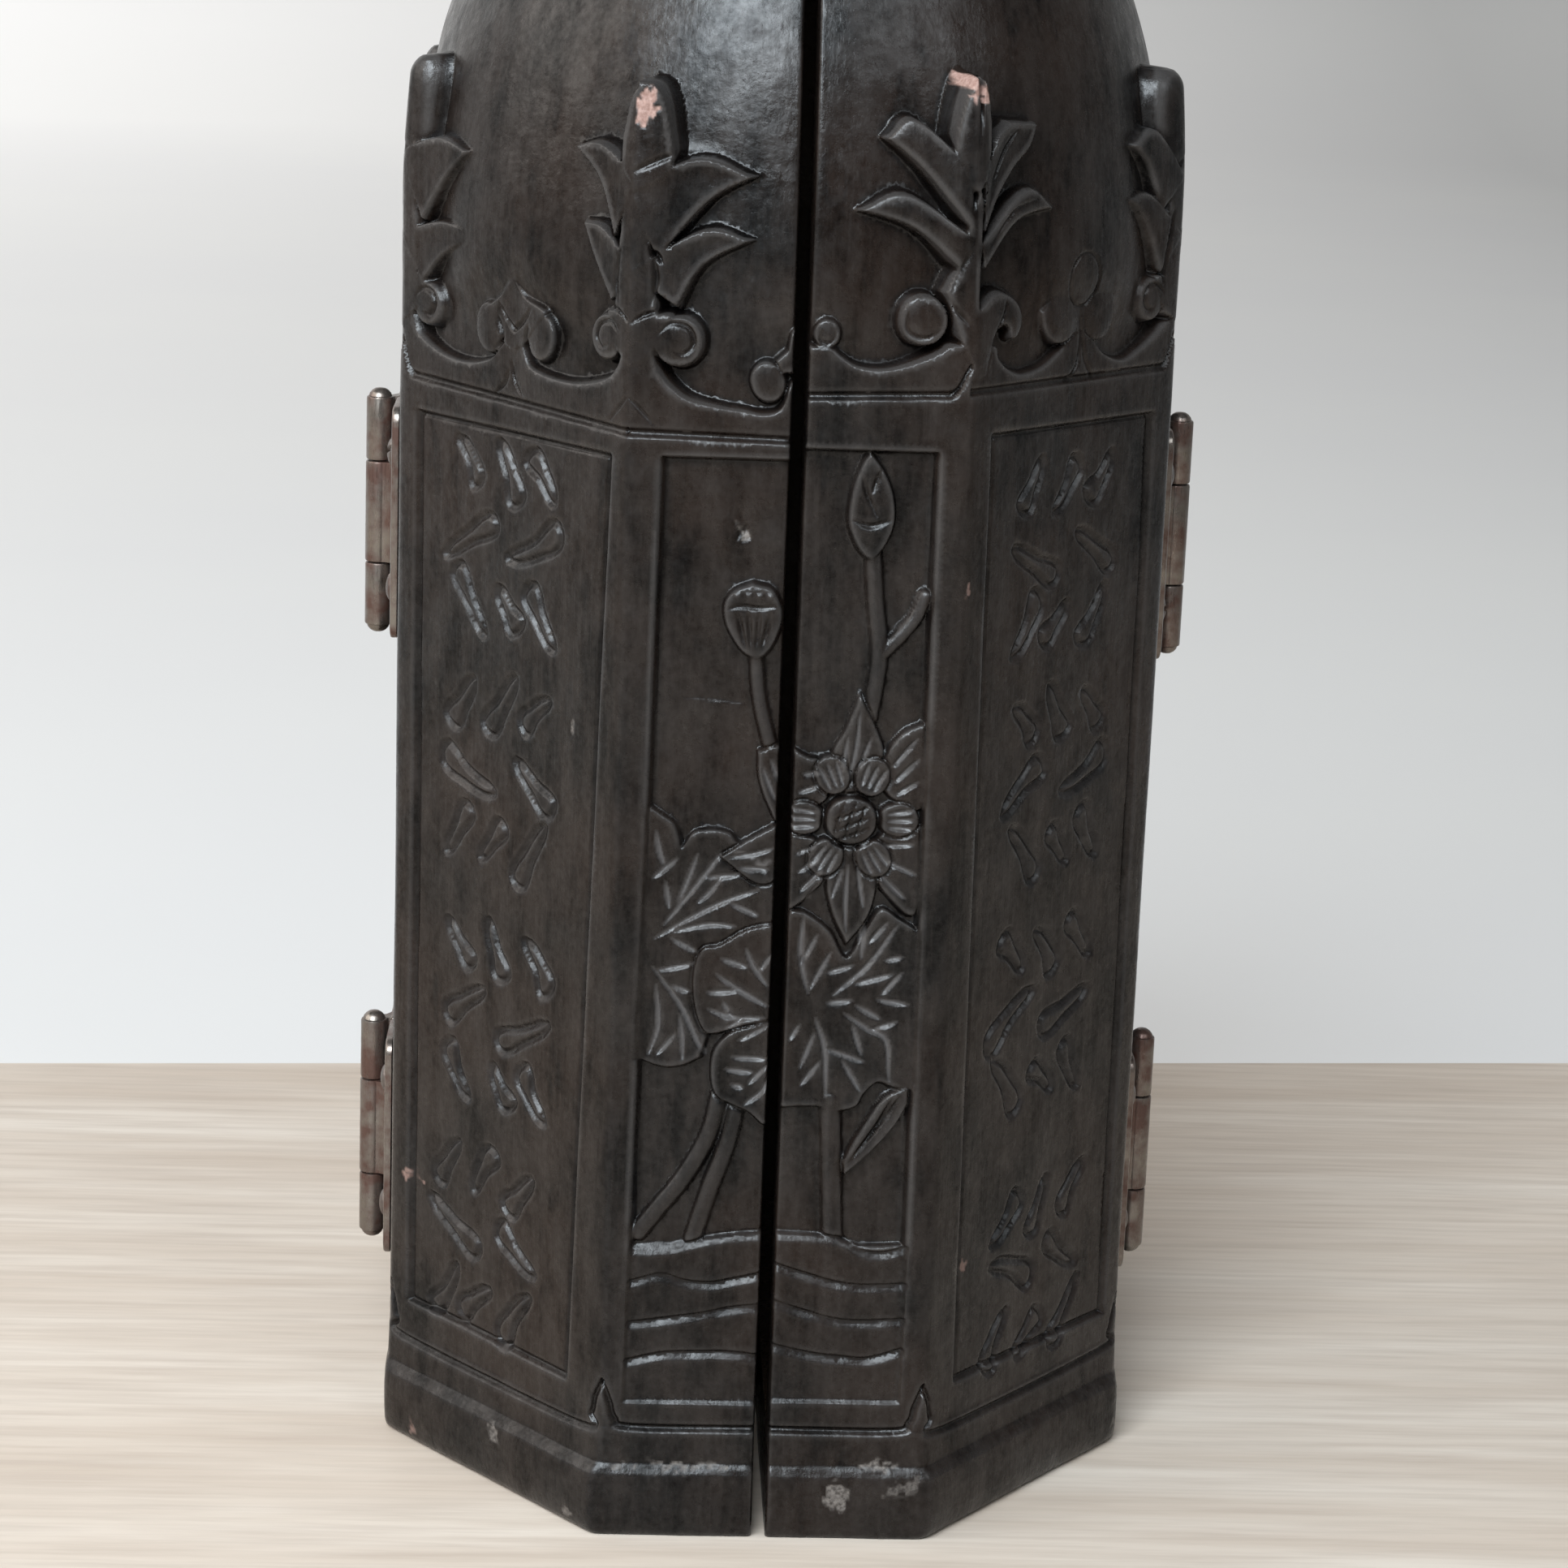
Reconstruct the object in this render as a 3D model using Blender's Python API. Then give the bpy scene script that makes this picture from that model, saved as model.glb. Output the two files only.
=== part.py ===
"""A folding shrine box: an octagonal wooden case under a round dome.

The case is one block of wood, hollowed and split in three: a rear half and two
front quarters, which swing on two butt hinges each and open to a triptych.
Lengths are in metres, +Z is up and the front looks along -Y. The origin is on
the underside, on the axis of the dome.
"""

import math

import bmesh
import bpy
from mathutils import Vector

MM = 0.001

# Plan of the block
APOTHEM = 55.0 * MM             # axis to the front, rear and side faces
FRONT_HALF = 22.9 * MM          # half the width of the front face and of the rear face
SIDE_TO_FRONT = 18.1 * MM       # side face, from the split to its front corner
SIDE_TO_REAR = 22.9 * MM        # side face, from the split to its rear corner

# Gaps between the three pieces
FRONT_GAP = 2.0 * MM            # between the two doors
SPLIT_GAP = 0.3 * MM            # between a door and the rear half
FIT = 0.3 * MM                  # between any other two pieces that touch

# Plinth, from the ground up
PLINTH_TOP = 10.8 * MM
PLINTH_BAND_TOP = 16.3 * MM     # top of the flat band above the bulge
PLINTH_GROW_FRONT = 1.5 * MM    # how far the bulge stands out of the front and rear faces
PLINTH_GROW_DIAGONAL = 2.2 * MM
PLINTH_GROW_SIDE = 0.6 * MM
BAND_GROW = 0.35 * MM           # how far the band stands out
FOOT_ROUND = 1.6 * MM           # height of the rounded lower edge

# Frieze and dome. The carver set the frieze a little higher on the right door.
FRIEZE_BASE = {"left": 158.5 * MM, "right": 163.5 * MM, "rear": 161.0 * MM}
FRIEZE_SINK = 1.3 * MM          # ground behind the leaves, below the block's faces
FRIEZE_HEIGHT = 24.0 * MM       # from the frieze line to where the ground is quite round
DOME_RADIUS = 54.4 * MM
DOME_SPRING = 178.0 * MM        # height where the dome starts to close in
DOME_RISE = 77.0 * MM
DOME_LEVELS = 8
DOME_TIP = 5.0 * MM             # radius of the small flat at the very top

# Hollow
WALL = 9.0 * MM
FLOOR = 14.0 * MM
HOLLOW_SIDES = 20
HOLLOW_DOME_LEVELS = 4

# Sunk panels. Margins are measured from the face's edges.
PANEL_BOTTOM = 20.6 * MM
PANEL_TOP_BELOW_FRIEZE = 4.2 * MM
FRONT_MARGIN = 4.1 * MM
FRONT_SINK = 1.5 * MM
DIAGONAL_MARGIN_FRONT = 4.8 * MM
DIAGONAL_MARGIN_SIDE = 4.3 * MM
DIAGONAL_SINK = 0.7 * MM

# Carving. Rises are measured from the block's face, so most are below it.
ROOT = 6.5 * MM                 # how deep a carved form is rooted
EDGE_ROOT = 9.0 * MM            # the same for a form folded over an edge of the block
LEAF_EDGE = -1.2 * MM           # edges of the leaves and scrolls of the frieze
LEAF_SPINE = -0.1 * MM          # their raised middle
LEAF_TIP = 0.15 * MM            # half the width of a leaf's tip
SIDE_LOBE_DROP = 0.25 * MM      # the side lobes of a trefoil lie a little under the middle one
EYE_RISE = 0.3 * MM             # how far an eye or disc stands above its edge
HOOK_PIECES = 3
LEAN_FROM = 184.0 * MM          # above this height the block's faces lean in
LEAN_SPAN = 20.0 * MM
LEAN = 1.6 * MM                 # how far they lean in over that span
BUD_TIP = 44.0 * MM             # tip of the buds above the frieze line
RELIEF_EDGE = -1.0 * MM         # edges of the forms on the front panels
RELIEF_TOP = -0.3 * MM
WAVE_ROWS = 5
STROKE_GROUPS = 4
STROKE_REACH = (5.0 * MM, 8.5 * MM, 6.5 * MM, 9.0 * MM)
STROKE_PITCH = 6.0 * MM
STROKE_HALF = 1.1 * MM
STROKE_SLANT = 0.7 * MM
STROKE_RISE = 0.5 * MM          # how far the strokes stand out of the sunk panel

# Hinges
HINGE_HEIGHT = 34.0 * MM
HINGE_CENTRES = {"lower": 41.5 * MM, "upper": 137.0 * MM}
MIDDLE_KNUCKLE = 15.0 * MM
KNUCKLE_RADIUS = 2.0 * MM
AXIS_OUT = 3.9 * MM             # hinge axis, out from the side face
BORE_CLEARANCE = 0.25 * MM
PIN_RADIUS = 0.85 * MM
PIN_HEAD_RADIUS = 1.7 * MM
PIN_HEAD_RISE = 1.2 * MM
PLATE_THICK = 1.2 * MM
PLATE_WIDTH = 12.0 * MM         # from the hinge axis to the plate's free edge
PLATE_TO_AXIS = 0.4 * MM        # from the hinge axis to the plate's near edge
WEB_WIDTH = 1.6 * MM            # the bent part that joins a plate to its knuckle
KNUCKLE_SIDES = 8
BORE_SIDES = 6

# Screws
SCREW_FROM_AXIS = 7.2 * MM
SCREW_SPACING = 20.0 * MM
SCREW_RADIUS = 0.9 * MM
SCREW_LENGTH = 7.0 * MM         # from under the head
SCREW_HEAD_RADIUS = 2.1 * MM
SCREW_HEAD_RISE = 0.9 * MM
SCREW_SIDES = 6

SIDES = {"left": -1, "right": 1}


def clear_scene():
    for item in list(bpy.data.objects):
        bpy.data.objects.remove(item, do_unlink=True)


def make_material(name, colour, roughness, metallic):
    material = bpy.data.materials.new(name)
    material.use_nodes = True
    shader = material.node_tree.nodes["Principled BSDF"]
    shader.inputs["Base Color"].default_value = (*colour, 1.0)
    shader.inputs["Roughness"].default_value = roughness
    shader.inputs["Metallic"].default_value = metallic
    return material


def mesh_object(name, bm, material=None, parent=None, collection=None):
    """Turn a bmesh in world coordinates into an object, with its origin at its parent's."""
    bmesh.ops.recalc_face_normals(bm, faces=bm.faces)
    if parent is not None:
        bmesh.ops.translate(bm, verts=bm.verts, vec=-parent.location)
    mesh = bpy.data.meshes.new(name)
    bm.to_mesh(mesh)
    bm.free()
    item = bpy.data.objects.new(name, mesh)
    (collection or bpy.context.scene.collection).objects.link(item)
    item.parent = parent
    if material is not None:
        mesh.materials.append(material)
    return item


class Guides:
    """A collection of closed bodies that are joined to a piece, or cut from it."""

    def __init__(self, name):
        self.name = name
        self.collection = bpy.data.collections.new(name)
        bpy.context.scene.collection.children.link(self.collection)

    def add(self, loops):
        """Add one body, lofted through closed loops of points."""
        bm = bmesh.new()
        add_loft(bm, loops)
        name = self.name + "_" + str(len(self.collection.objects) + 1)
        item = mesh_object(name, bm, collection=self.collection)
        item.hide_render = True
        item.display_type = "WIRE"

    def apply_to(self, item, operation):
        modifier = item.modifiers.new(self.name, "BOOLEAN")
        modifier.operation = operation
        modifier.operand_type = "COLLECTION"
        modifier.collection = self.collection
        modifier.solver = "EXACT"


def add_loft(bm, loops):
    """Join closed loops of points, one above the other, into a closed body with flat ends."""
    rings = [[bm.verts.new(point) for point in loop] for loop in loops]
    for low, high in zip(rings, rings[1:]):
        for index in range(len(low)):
            following = (index + 1) % len(low)
            bm.faces.new((low[index], low[following], high[following], high[index]))
    bm.faces.new(list(reversed(rings[0])))
    bm.faces.new(rings[-1])


def box_loops(low, high):
    corners = [(low[0], low[1]), (high[0], low[1]), (high[0], high[1]), (low[0], high[1])]
    return [[(x, y, z) for x, y in corners] for z in (low[2], high[2])]


def round_loops(centre, axis, levels, sides):
    """Round sections stacked along an axis. levels holds (distance along the axis, radius)."""
    axis = Vector(axis).normalized()
    across = axis.orthogonal().normalized()
    other = axis.cross(across)
    loops = []
    for distance, radius in levels:
        middle = Vector(centre) + axis * distance
        turns = [2.0 * math.pi * step / sides for step in range(sides)]
        loops.append([middle + (across * math.cos(turn) + other * math.sin(turn)) * radius
                      for turn in turns])
    return loops


# The block

def quarter_corners(side_half, grow_front=0.0, grow_diagonal=0.0, grow_side=0.0):
    """Corners of one quarter of the octagon, as (sideways, forward), each face grown outwards."""
    run = Vector((APOTHEM - FRONT_HALF, side_half - APOTHEM))
    normal = Vector((-run.y, run.x)).normalized()
    reach = normal.dot(Vector((FRONT_HALF, APOTHEM))) + grow_diagonal
    forward = APOTHEM + grow_front
    sideways = APOTHEM + grow_side
    return (((reach - normal.y * forward) / normal.x, forward),
            (sideways, (reach - normal.x * sideways) / normal.y))


def split_line(start, end, pieces):
    return [(start[0] + (end[0] - start[0]) * step / pieces,
             start[1] + (end[1] - start[1]) * step / pieces) for step in range(pieces)]


def quarter_outline(side_half, start_gap, end_gap, level):
    """Outer edge of a quarter from its middle face to its side face, as (sideways, forward)."""
    front, side = quarter_corners(side_half, *level["grow"])
    points = split_line((start_gap, front[1]), front, 2)
    points += split_line(front, side, 4)
    points += split_line(side, (side[0], end_gap), 2)
    points.append((side[0], end_gap))
    rounded = []
    for sideways, forward in points:
        share = level["radius"] / math.hypot(sideways, forward)
        scale = 1.0 + level["roundness"] * (share - 1.0)
        rounded.append((max(sideways * scale, start_gap), max(forward * scale, end_gap)))
    return rounded


def dome_radius(height):
    if height <= DOME_SPRING:
        return DOME_RADIUS
    return DOME_RADIUS * math.sqrt(1.0 - ((height - DOME_SPRING) / DOME_RISE) ** 2)


def block_levels(frieze):
    """The block's sections from the ground to the top of the dome."""
    bulge = (PLINTH_GROW_FRONT, PLINTH_GROW_DIAGONAL, PLINTH_GROW_SIDE)
    foot = tuple(grow * 0.5 for grow in bulge)
    shoulder = tuple(grow * 0.75 for grow in bulge)
    band = (BAND_GROW,) * 3
    flush = (0.0,) * 3
    sunk = (-FRIEZE_SINK,) * 3
    round_from = frieze + FRIEZE_HEIGHT
    plan = [(0.0, foot, 0.0),
            (FOOT_ROUND, bulge, 0.0),
            (PLINTH_TOP * 0.75, bulge, 0.0),
            (PLINTH_TOP, shoulder, 0.0),
            (PLINTH_TOP + FIT, band, 0.0),
            (PLINTH_BAND_TOP, band, 0.0),
            (PLINTH_BAND_TOP + FIT, flush, 0.0),
            (frieze, flush, 0.0),
            (frieze + FRIEZE_SINK / 2, sunk, 0.0),
            (frieze + FRIEZE_HEIGHT / 2, sunk, 0.6),
            (round_from, sunk, 1.0)]
    start = math.asin((round_from - DOME_SPRING) / DOME_RISE)
    end = math.acos(DOME_TIP / DOME_RADIUS)
    for step in range(1, DOME_LEVELS + 1):
        turn = start + (end - start) * step / DOME_LEVELS
        plan.append((DOME_SPRING + DOME_RISE * math.sin(turn), sunk, 1.0))
    return [{"height": height, "grow": grow, "roundness": roundness, "radius": dome_radius(height)}
            for height, grow, roundness in plan]


def merge_flat_faces(bm):
    bmesh.ops.recalc_face_normals(bm, faces=bm.faces)
    bmesh.ops.dissolve_limit(bm, angle_limit=math.radians(0.2), verts=bm.verts, edges=bm.edges,
                             use_dissolve_boundaries=False)


def door_block(side):
    """One front quarter, solid, from the ground to the top of the dome."""
    sign = SIDES[side]
    loops = []
    for level in block_levels(FRIEZE_BASE[side]):
        outline = quarter_outline(SIDE_TO_FRONT, FRONT_GAP / 2, SPLIT_GAP, level)
        outline.append((FRONT_GAP / 2, SPLIT_GAP))
        loops.append([(sign * sideways, -forward, level["height"])
                      for sideways, forward in outline])
    bm = bmesh.new()
    add_loft(bm, loops)
    merge_flat_faces(bm)
    return bm


def rear_block():
    """The rear half, solid, from the ground to the top of the dome."""
    loops = []
    for level in block_levels(FRIEZE_BASE["rear"]):
        quarter = quarter_outline(SIDE_TO_REAR, 0.0, 0.0, level)
        outline = list(reversed(quarter))
        outline += [(-sideways, forward) for sideways, forward in quarter[1:]]
        loops.append([(sideways, forward, level["height"]) for sideways, forward in outline])
    bm = bmesh.new()
    add_loft(bm, loops)
    merge_flat_faces(bm)
    return bm


def hollow_loops():
    """The round chamber inside the three pieces, closed by its own dome."""
    radius = APOTHEM - WALL
    rise = DOME_RISE - WALL
    levels = [(FLOOR, radius), (DOME_SPRING, radius)]
    for step in range(1, HOLLOW_DOME_LEVELS):
        turn = math.pi / 2 * step / HOLLOW_DOME_LEVELS
        levels.append((DOME_SPRING + rise * math.sin(turn), radius * math.cos(turn)))
    levels.append((DOME_SPRING + rise, DOME_TIP))
    return round_loops((0, 0, 0), (0, 0, 1), levels, HOLLOW_SIDES)


# Faces of the block. Each is drawn on with (along, height), along from one upright edge.

def lean_at(height):
    return LEAN * (max(height - LEAN_FROM, 0.0) / LEAN_SPAN) ** 2


class Face:
    """A flat upright face of the block, seen in plan as a line from start to end."""

    def __init__(self, start, end):
        self.start = Vector((*start, 0.0))
        self.end = Vector((*end, 0.0))
        self.width = (self.end - self.start).length
        self.run = (self.end - self.start).normalized()
        self.normal = Vector((self.run.y, -self.run.x, 0.0))
        if self.normal.dot(self.start + self.end) < 0.0:
            self.normal = -self.normal

    def point(self, along, height, rise):
        """A point at a distance above the face, which leans in near its top."""
        place = self.start + self.run * along + self.normal * (rise - lean_at(height))
        return Vector((place.x, place.y, height))

    def turned(self):
        """The same face, drawn on from its other edge."""
        return Face(self.end.xy, self.start.xy)


def door_faces(side):
    sign = SIDES[side]
    (edge_x, edge_y), (side_x, side_y) = quarter_corners(SIDE_TO_FRONT)
    front_edge = (sign * edge_x, -edge_y)
    side_edge = (sign * side_x, -side_y)
    return {"front": Face((0.0, -edge_y), front_edge),
            "diagonal": Face(front_edge, side_edge),
            "side": Face(side_edge, (sign * side_x, 0.0))}


def rear_faces():
    (edge_x, edge_y), (side_x, side_y) = quarter_corners(SIDE_TO_REAR)
    faces = {"rear": Face((edge_x, edge_y), (-edge_x, edge_y))}
    for side, sign in SIDES.items():
        side_edge = (sign * side_x, side_y)
        faces[side + "_side"] = Face(side_edge, (sign * side_x, 0.0))
        faces[side + "_diagonal"] = Face(side_edge, (sign * edge_x, edge_y))
    return faces


def panel_loops(face, start, end, top, sink):
    """A cutter for a sunk panel, with its upright edges at start and end."""
    outline = [(start, PANEL_BOTTOM), (end, PANEL_BOTTOM), (end, top), (start, top)]
    return [[face.point(along, height, rise) for along, height in outline]
            for rise in (-sink, WALL)]


# Carved forms. Each is a closed body with a raised spine, rooted in the wood.

def sweep(carving, face, stations):
    """stations holds (along, height, half width, edge rise, spine rise)."""
    loops = []
    for index, (along, height, half, edge, spine) in enumerate(stations):
        before = stations[max(index - 1, 0)]
        after = stations[min(index + 1, len(stations) - 1)]
        turn = math.atan2(after[1] - before[1], after[0] - before[0])
        across = -math.sin(turn) * half
        up = math.cos(turn) * half
        loops.append([face.point(along + across, height + up, -ROOT),
                      face.point(along + across, height + up, edge),
                      face.point(along, height, spine),
                      face.point(along - across, height - up, edge),
                      face.point(along - across, height - up, -ROOT)])
    carving.add(loops)


def bend_points(start, bend, end, pieces):
    """Points along a curve from start to end, drawn towards bend."""
    points = []
    for step in range(pieces + 1):
        t = step / pieces
        weights = ((1 - t) ** 2, 2 * t * (1 - t), t ** 2)
        points.append(tuple(sum(weight * corner[axis]
                                for weight, corner in zip(weights, (start, bend, end)))
                            for axis in (0, 1)))
    return points


def leaf(carving, face, start, bend, end, widest, edge, spine, pieces=2):
    """A leaf or petal: broad near its start and pointed at its end."""
    stations = []
    for step, point in enumerate(bend_points(start, bend, end, pieces)):
        swell = math.sin(math.pi * (0.16 + 0.84 * step / pieces) ** 0.8)
        stations.append((*point, max(LEAF_TIP, widest * swell), edge, spine))
    sweep(carving, face, stations)


def stem(carving, face, start, bend, end, half, edge, spine, pieces=2):
    points = bend_points(start, bend, end, pieces)
    sweep(carving, face, [(*point, half, edge, spine) for point in points])


def scroll(carving, face, centre, radius, rise):
    """A volute: a raised eye with a hook that winds round it from below."""
    eye = [(-ROOT, radius * 0.6), (rise - EYE_RISE, radius * 0.6), (rise, radius * 0.35)]
    carving.add(round_loops(face.point(*centre, 0.0), face.normal, eye, 5))
    reach = radius * 0.95
    stations = []
    for step in range(HOOK_PIECES + 1):
        turn = math.pi * (-0.5 + 1.1 * step / HOOK_PIECES)
        stations.append((centre[0] + reach * math.cos(turn), centre[1] + reach * math.sin(turn),
                         radius * 0.2, rise - EYE_RISE, rise - EYE_RISE / 2))
    sweep(carving, face, stations)


def edge_form(carving, first, second, levels):
    """A form folded over the block's edge. levels holds (height, half width, drop)."""
    outward = (first.normal + second.normal).normalized()
    loops = []
    for height, half, drop in levels:
        inset = (drop + lean_at(height)) / outward.dot(first.normal)
        middle = first.start - outward * inset + Vector((0.0, 0.0, height))
        loops.append([middle + first.run * half, middle, middle + second.run * half,
                      middle - outward * EDGE_ROOT])
    carving.add(loops)


def leaf_cluster(carving, first, second, frieze, pairs):
    """A sprig on the block's edge: bud, stem, pairs of leaves and two scrolls.

    Both faces are drawn on from the shared edge.
    """
    tip = frieze + BUD_TIP
    edge_form(carving, first, second, [(frieze + 6.0 * MM, 1.6 * MM, 0.3 * MM),
                                       (tip - 18.0 * MM, 1.6 * MM, 0.2 * MM),
                                       (tip - 11.0 * MM, 3.2 * MM, 0.1 * MM),
                                       (tip - 5.0 * MM, 2.4 * MM, 0.1 * MM),
                                       (tip, 0.5 * MM, 0.9 * MM)])
    for face in (first, second):
        for pair in range(pairs):
            base = tip - (22.0 + 11.0 * pair) * MM
            leaf(carving, face, (1.4 * MM, base), (7.0 * MM, base + 1.5 * MM),
                 (15.5 * MM, base + 9.5 * MM), 3.3 * MM, LEAF_EDGE, LEAF_SPINE, pieces=3)
        scroll(carving, face, (6.8 * MM, frieze + 11.5 * MM), 3.2 * MM, LEAF_SPINE)


def swag(carving, face, start, end, frieze):
    """A drooping band that joins two scrolls above the frieze line."""
    stem(carving, face, (start, frieze + 8.4 * MM), ((start + end) / 2, frieze + 0.6 * MM),
         (end, frieze + 8.4 * MM), 1.0 * MM, LEAF_EDGE, LEAF_SPINE, pieces=3)


def trefoil(carving, face, along, frieze):
    """Three short lobes over a tail, in the middle of a face."""
    for spread in (-1, 0, 1):
        reach = 4.4 * MM * spread
        root = frieze + (4.0 + 0.7 * abs(spread)) * MM
        top = frieze + (15.5 - 3.0 * abs(spread)) * MM
        drop = SIDE_LOBE_DROP * abs(spread)
        leaf(carving, face, (along + 0.2 * reach, root), (along + reach, root + 2.0 * MM),
             (along + reach, top), 1.7 * MM, LEAF_EDGE - drop, LEAF_SPINE - drop)


def frieze_face(carving, face, frieze):
    """Swags and a trefoil between the two leaf clusters of a face."""
    middle = face.width / 2
    swag(carving, face, 6.2 * MM, middle - 2.4 * MM, frieze)
    swag(carving, face, middle + 2.4 * MM, face.width - 6.2 * MM, frieze)
    trefoil(carving, face, middle, frieze)


# Relief of the front panels

def waves(carving, face, start, end):
    """Ripples across the foot of the panel."""
    for row in range(WAVE_ROWS):
        height = PANEL_BOTTOM + (2.6 + 5.4 * row) * MM
        stem(carving, face, (start, height + 0.7 * MM), ((start + end) / 2, height - 1.4 * MM),
             (end, height), 1.1 * MM, -FRONT_SINK * 0.9, RELIEF_TOP)


def seed_pod(carving, face):
    low = RELIEF_EDGE
    sweep(carving, face, [(5.4 * MM, 138.4 * MM, 2.2 * MM, low, low),
                          (5.3 * MM, 136.6 * MM, 4.1 * MM, low, RELIEF_TOP),
                          (5.1 * MM, 131.0 * MM, 3.7 * MM, low, RELIEF_TOP),
                          (4.8 * MM, 127.6 * MM, 1.2 * MM, low, low)])
    stem(carving, face, (4.8 * MM, 128.4 * MM), (4.6 * MM, 116.0 * MM), (2.2 * MM, 106.0 * MM),
         0.8 * MM, low, RELIEF_TOP, pieces=3)


def broad_leaf(carving, face, centre, radii, lobes):
    """A broad leaf seen from above: a low cone with a wavy edge."""
    loops = [[], [], []]
    for index in range(2 * lobes):
        turn = math.pi * (index + 0.5) / lobes
        reach = 1.0 if index % 2 else 0.86
        for loop, share, rise in zip(loops, (1.0, 1.0, 0.3), (-ROOT, RELIEF_EDGE, RELIEF_TOP)):
            loop.append(face.point(centre[0] + radii[0] * reach * share * math.cos(turn),
                                   centre[1] + radii[1] * reach * share * math.sin(turn), rise))
    carving.add(loops)


def flower(carving, face, centre, petals, length):
    """An open blossom: pointed petals round a raised disc."""
    for index in range(petals):
        turn = 2.0 * math.pi * (index + 0.5) / petals
        ends = [(centre[0] + length * share * math.cos(turn),
                 centre[1] + length * share * math.sin(turn)) for share in (0.25, 0.6, 1.0)]
        if ends[2][0] > FRONT_GAP:
            leaf(carving, face, *ends, 2.0 * MM, RELIEF_EDGE, RELIEF_TOP)
    disc = [(-ROOT, 3.9 * MM), (RELIEF_TOP - EYE_RISE, 3.9 * MM), (RELIEF_TOP + EYE_RISE, 2.6 * MM)]
    carving.add(round_loops(face.point(*centre, 0.0), face.normal, disc, 8))


def left_relief(carving, face):
    """Seed pod and two broad leaves with their stems."""
    seed_pod(carving, face)
    broad_leaf(carving, face, (11.0 * MM, 88.5 * MM), (7.4 * MM, 17.5 * MM), 5)
    broad_leaf(carving, face, (6.3 * MM, 75.5 * MM), (4.9 * MM, 13.0 * MM), 5)
    stem(carving, face, (10.5 * MM, 66.0 * MM), (12.5 * MM, 56.0 * MM), (17.0 * MM, 48.0 * MM),
         0.9 * MM, RELIEF_EDGE, RELIEF_TOP)
    stem(carving, face, (7.0 * MM, 64.0 * MM), (9.0 * MM, 54.0 * MM), (12.5 * MM, 46.0 * MM),
         0.9 * MM, RELIEF_EDGE, RELIEF_TOP)


def right_relief(carving, face):
    """Bud, blossom, a round leaf and a curled one, with their stems."""
    leaf(carving, face, (10.4 * MM, 142.0 * MM), (10.4 * MM, 149.0 * MM),
         (10.4 * MM, 157.0 * MM), 3.2 * MM, RELIEF_EDGE, RELIEF_TOP, pieces=3)
    stem(carving, face, (10.4 * MM, 143.0 * MM), (12.6 * MM, 132.0 * MM),
         (11.2 * MM, 118.0 * MM), 0.9 * MM, RELIEF_EDGE, RELIEF_TOP, pieces=3)
    stem(carving, face, (12.2 * MM, 130.0 * MM), (14.0 * MM, 132.0 * MM),
         (16.8 * MM, 136.0 * MM), 0.8 * MM, RELIEF_EDGE, RELIEF_TOP)
    leaf(carving, face, (10.0 * MM, 110.0 * MM), (9.8 * MM, 116.0 * MM),
         (10.6 * MM, 122.5 * MM), 3.4 * MM, RELIEF_EDGE, RELIEF_TOP)
    flower(carving, face, (9.6 * MM, 105.5 * MM), 8, 9.0 * MM)
    leaf(carving, face, (9.4 * MM, 101.0 * MM), (9.4 * MM, 94.0 * MM), (9.2 * MM, 88.5 * MM),
         3.0 * MM, RELIEF_EDGE, RELIEF_TOP)
    broad_leaf(carving, face, (9.8 * MM, 76.5 * MM), (8.4 * MM, 12.5 * MM), 6)
    stem(carving, face, (7.8 * MM, 65.0 * MM), (8.0 * MM, 56.0 * MM), (8.0 * MM, 46.0 * MM),
         1.1 * MM, RELIEF_EDGE, RELIEF_TOP)
    leaf(carving, face, (9.0 * MM, 55.5 * MM), (11.5 * MM, 61.0 * MM), (17.4 * MM, 67.0 * MM),
         1.7 * MM, RELIEF_EDGE, RELIEF_TOP)


def stroke_rows(carving, face, start, end, top):
    """Groups of shallow bars, one group above the other, in the place of an inscription."""
    middle = (start + end) / 2
    pitch = (top - PANEL_BOTTOM) / STROKE_GROUPS
    rise = STROKE_RISE - DIAGONAL_SINK
    for group in range(STROKE_GROUPS):
        centre = PANEL_BOTTOM + pitch * (group + 0.5)
        for row, reach in enumerate(STROKE_REACH):
            height = centre + ((len(STROKE_REACH) - 1) / 2 - row) * STROKE_PITCH
            slant = STROKE_SLANT * (1 if row % 2 else -1)
            corners = [(middle - reach, height - slant - STROKE_HALF),
                       (middle + reach, height + slant - STROKE_HALF),
                       (middle + reach, height + slant + STROKE_HALF),
                       (middle - reach, height - slant + STROKE_HALF)]
            carving.add([[face.point(*corner, level) for corner in corners]
                         for level in (-ROOT, rise)])


# Pieces of wood

def add_pilot_holes(cuts, sign, forward):
    """Holes for the screws of one side's hinges. forward is -1 towards the doors."""
    depth = SCREW_LENGTH - PLATE_THICK
    radius = SCREW_RADIUS + FIT
    for centre in HINGE_CENTRES.values():
        for step in (-0.5, 0.5):
            place = (sign * APOTHEM, forward * SCREW_FROM_AXIS, centre + step * SCREW_SPACING)
            cuts.add(round_loops(place, (sign, 0, 0), [(-depth, radius), (FIT, radius)],
                                 SCREW_SIDES))


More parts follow.
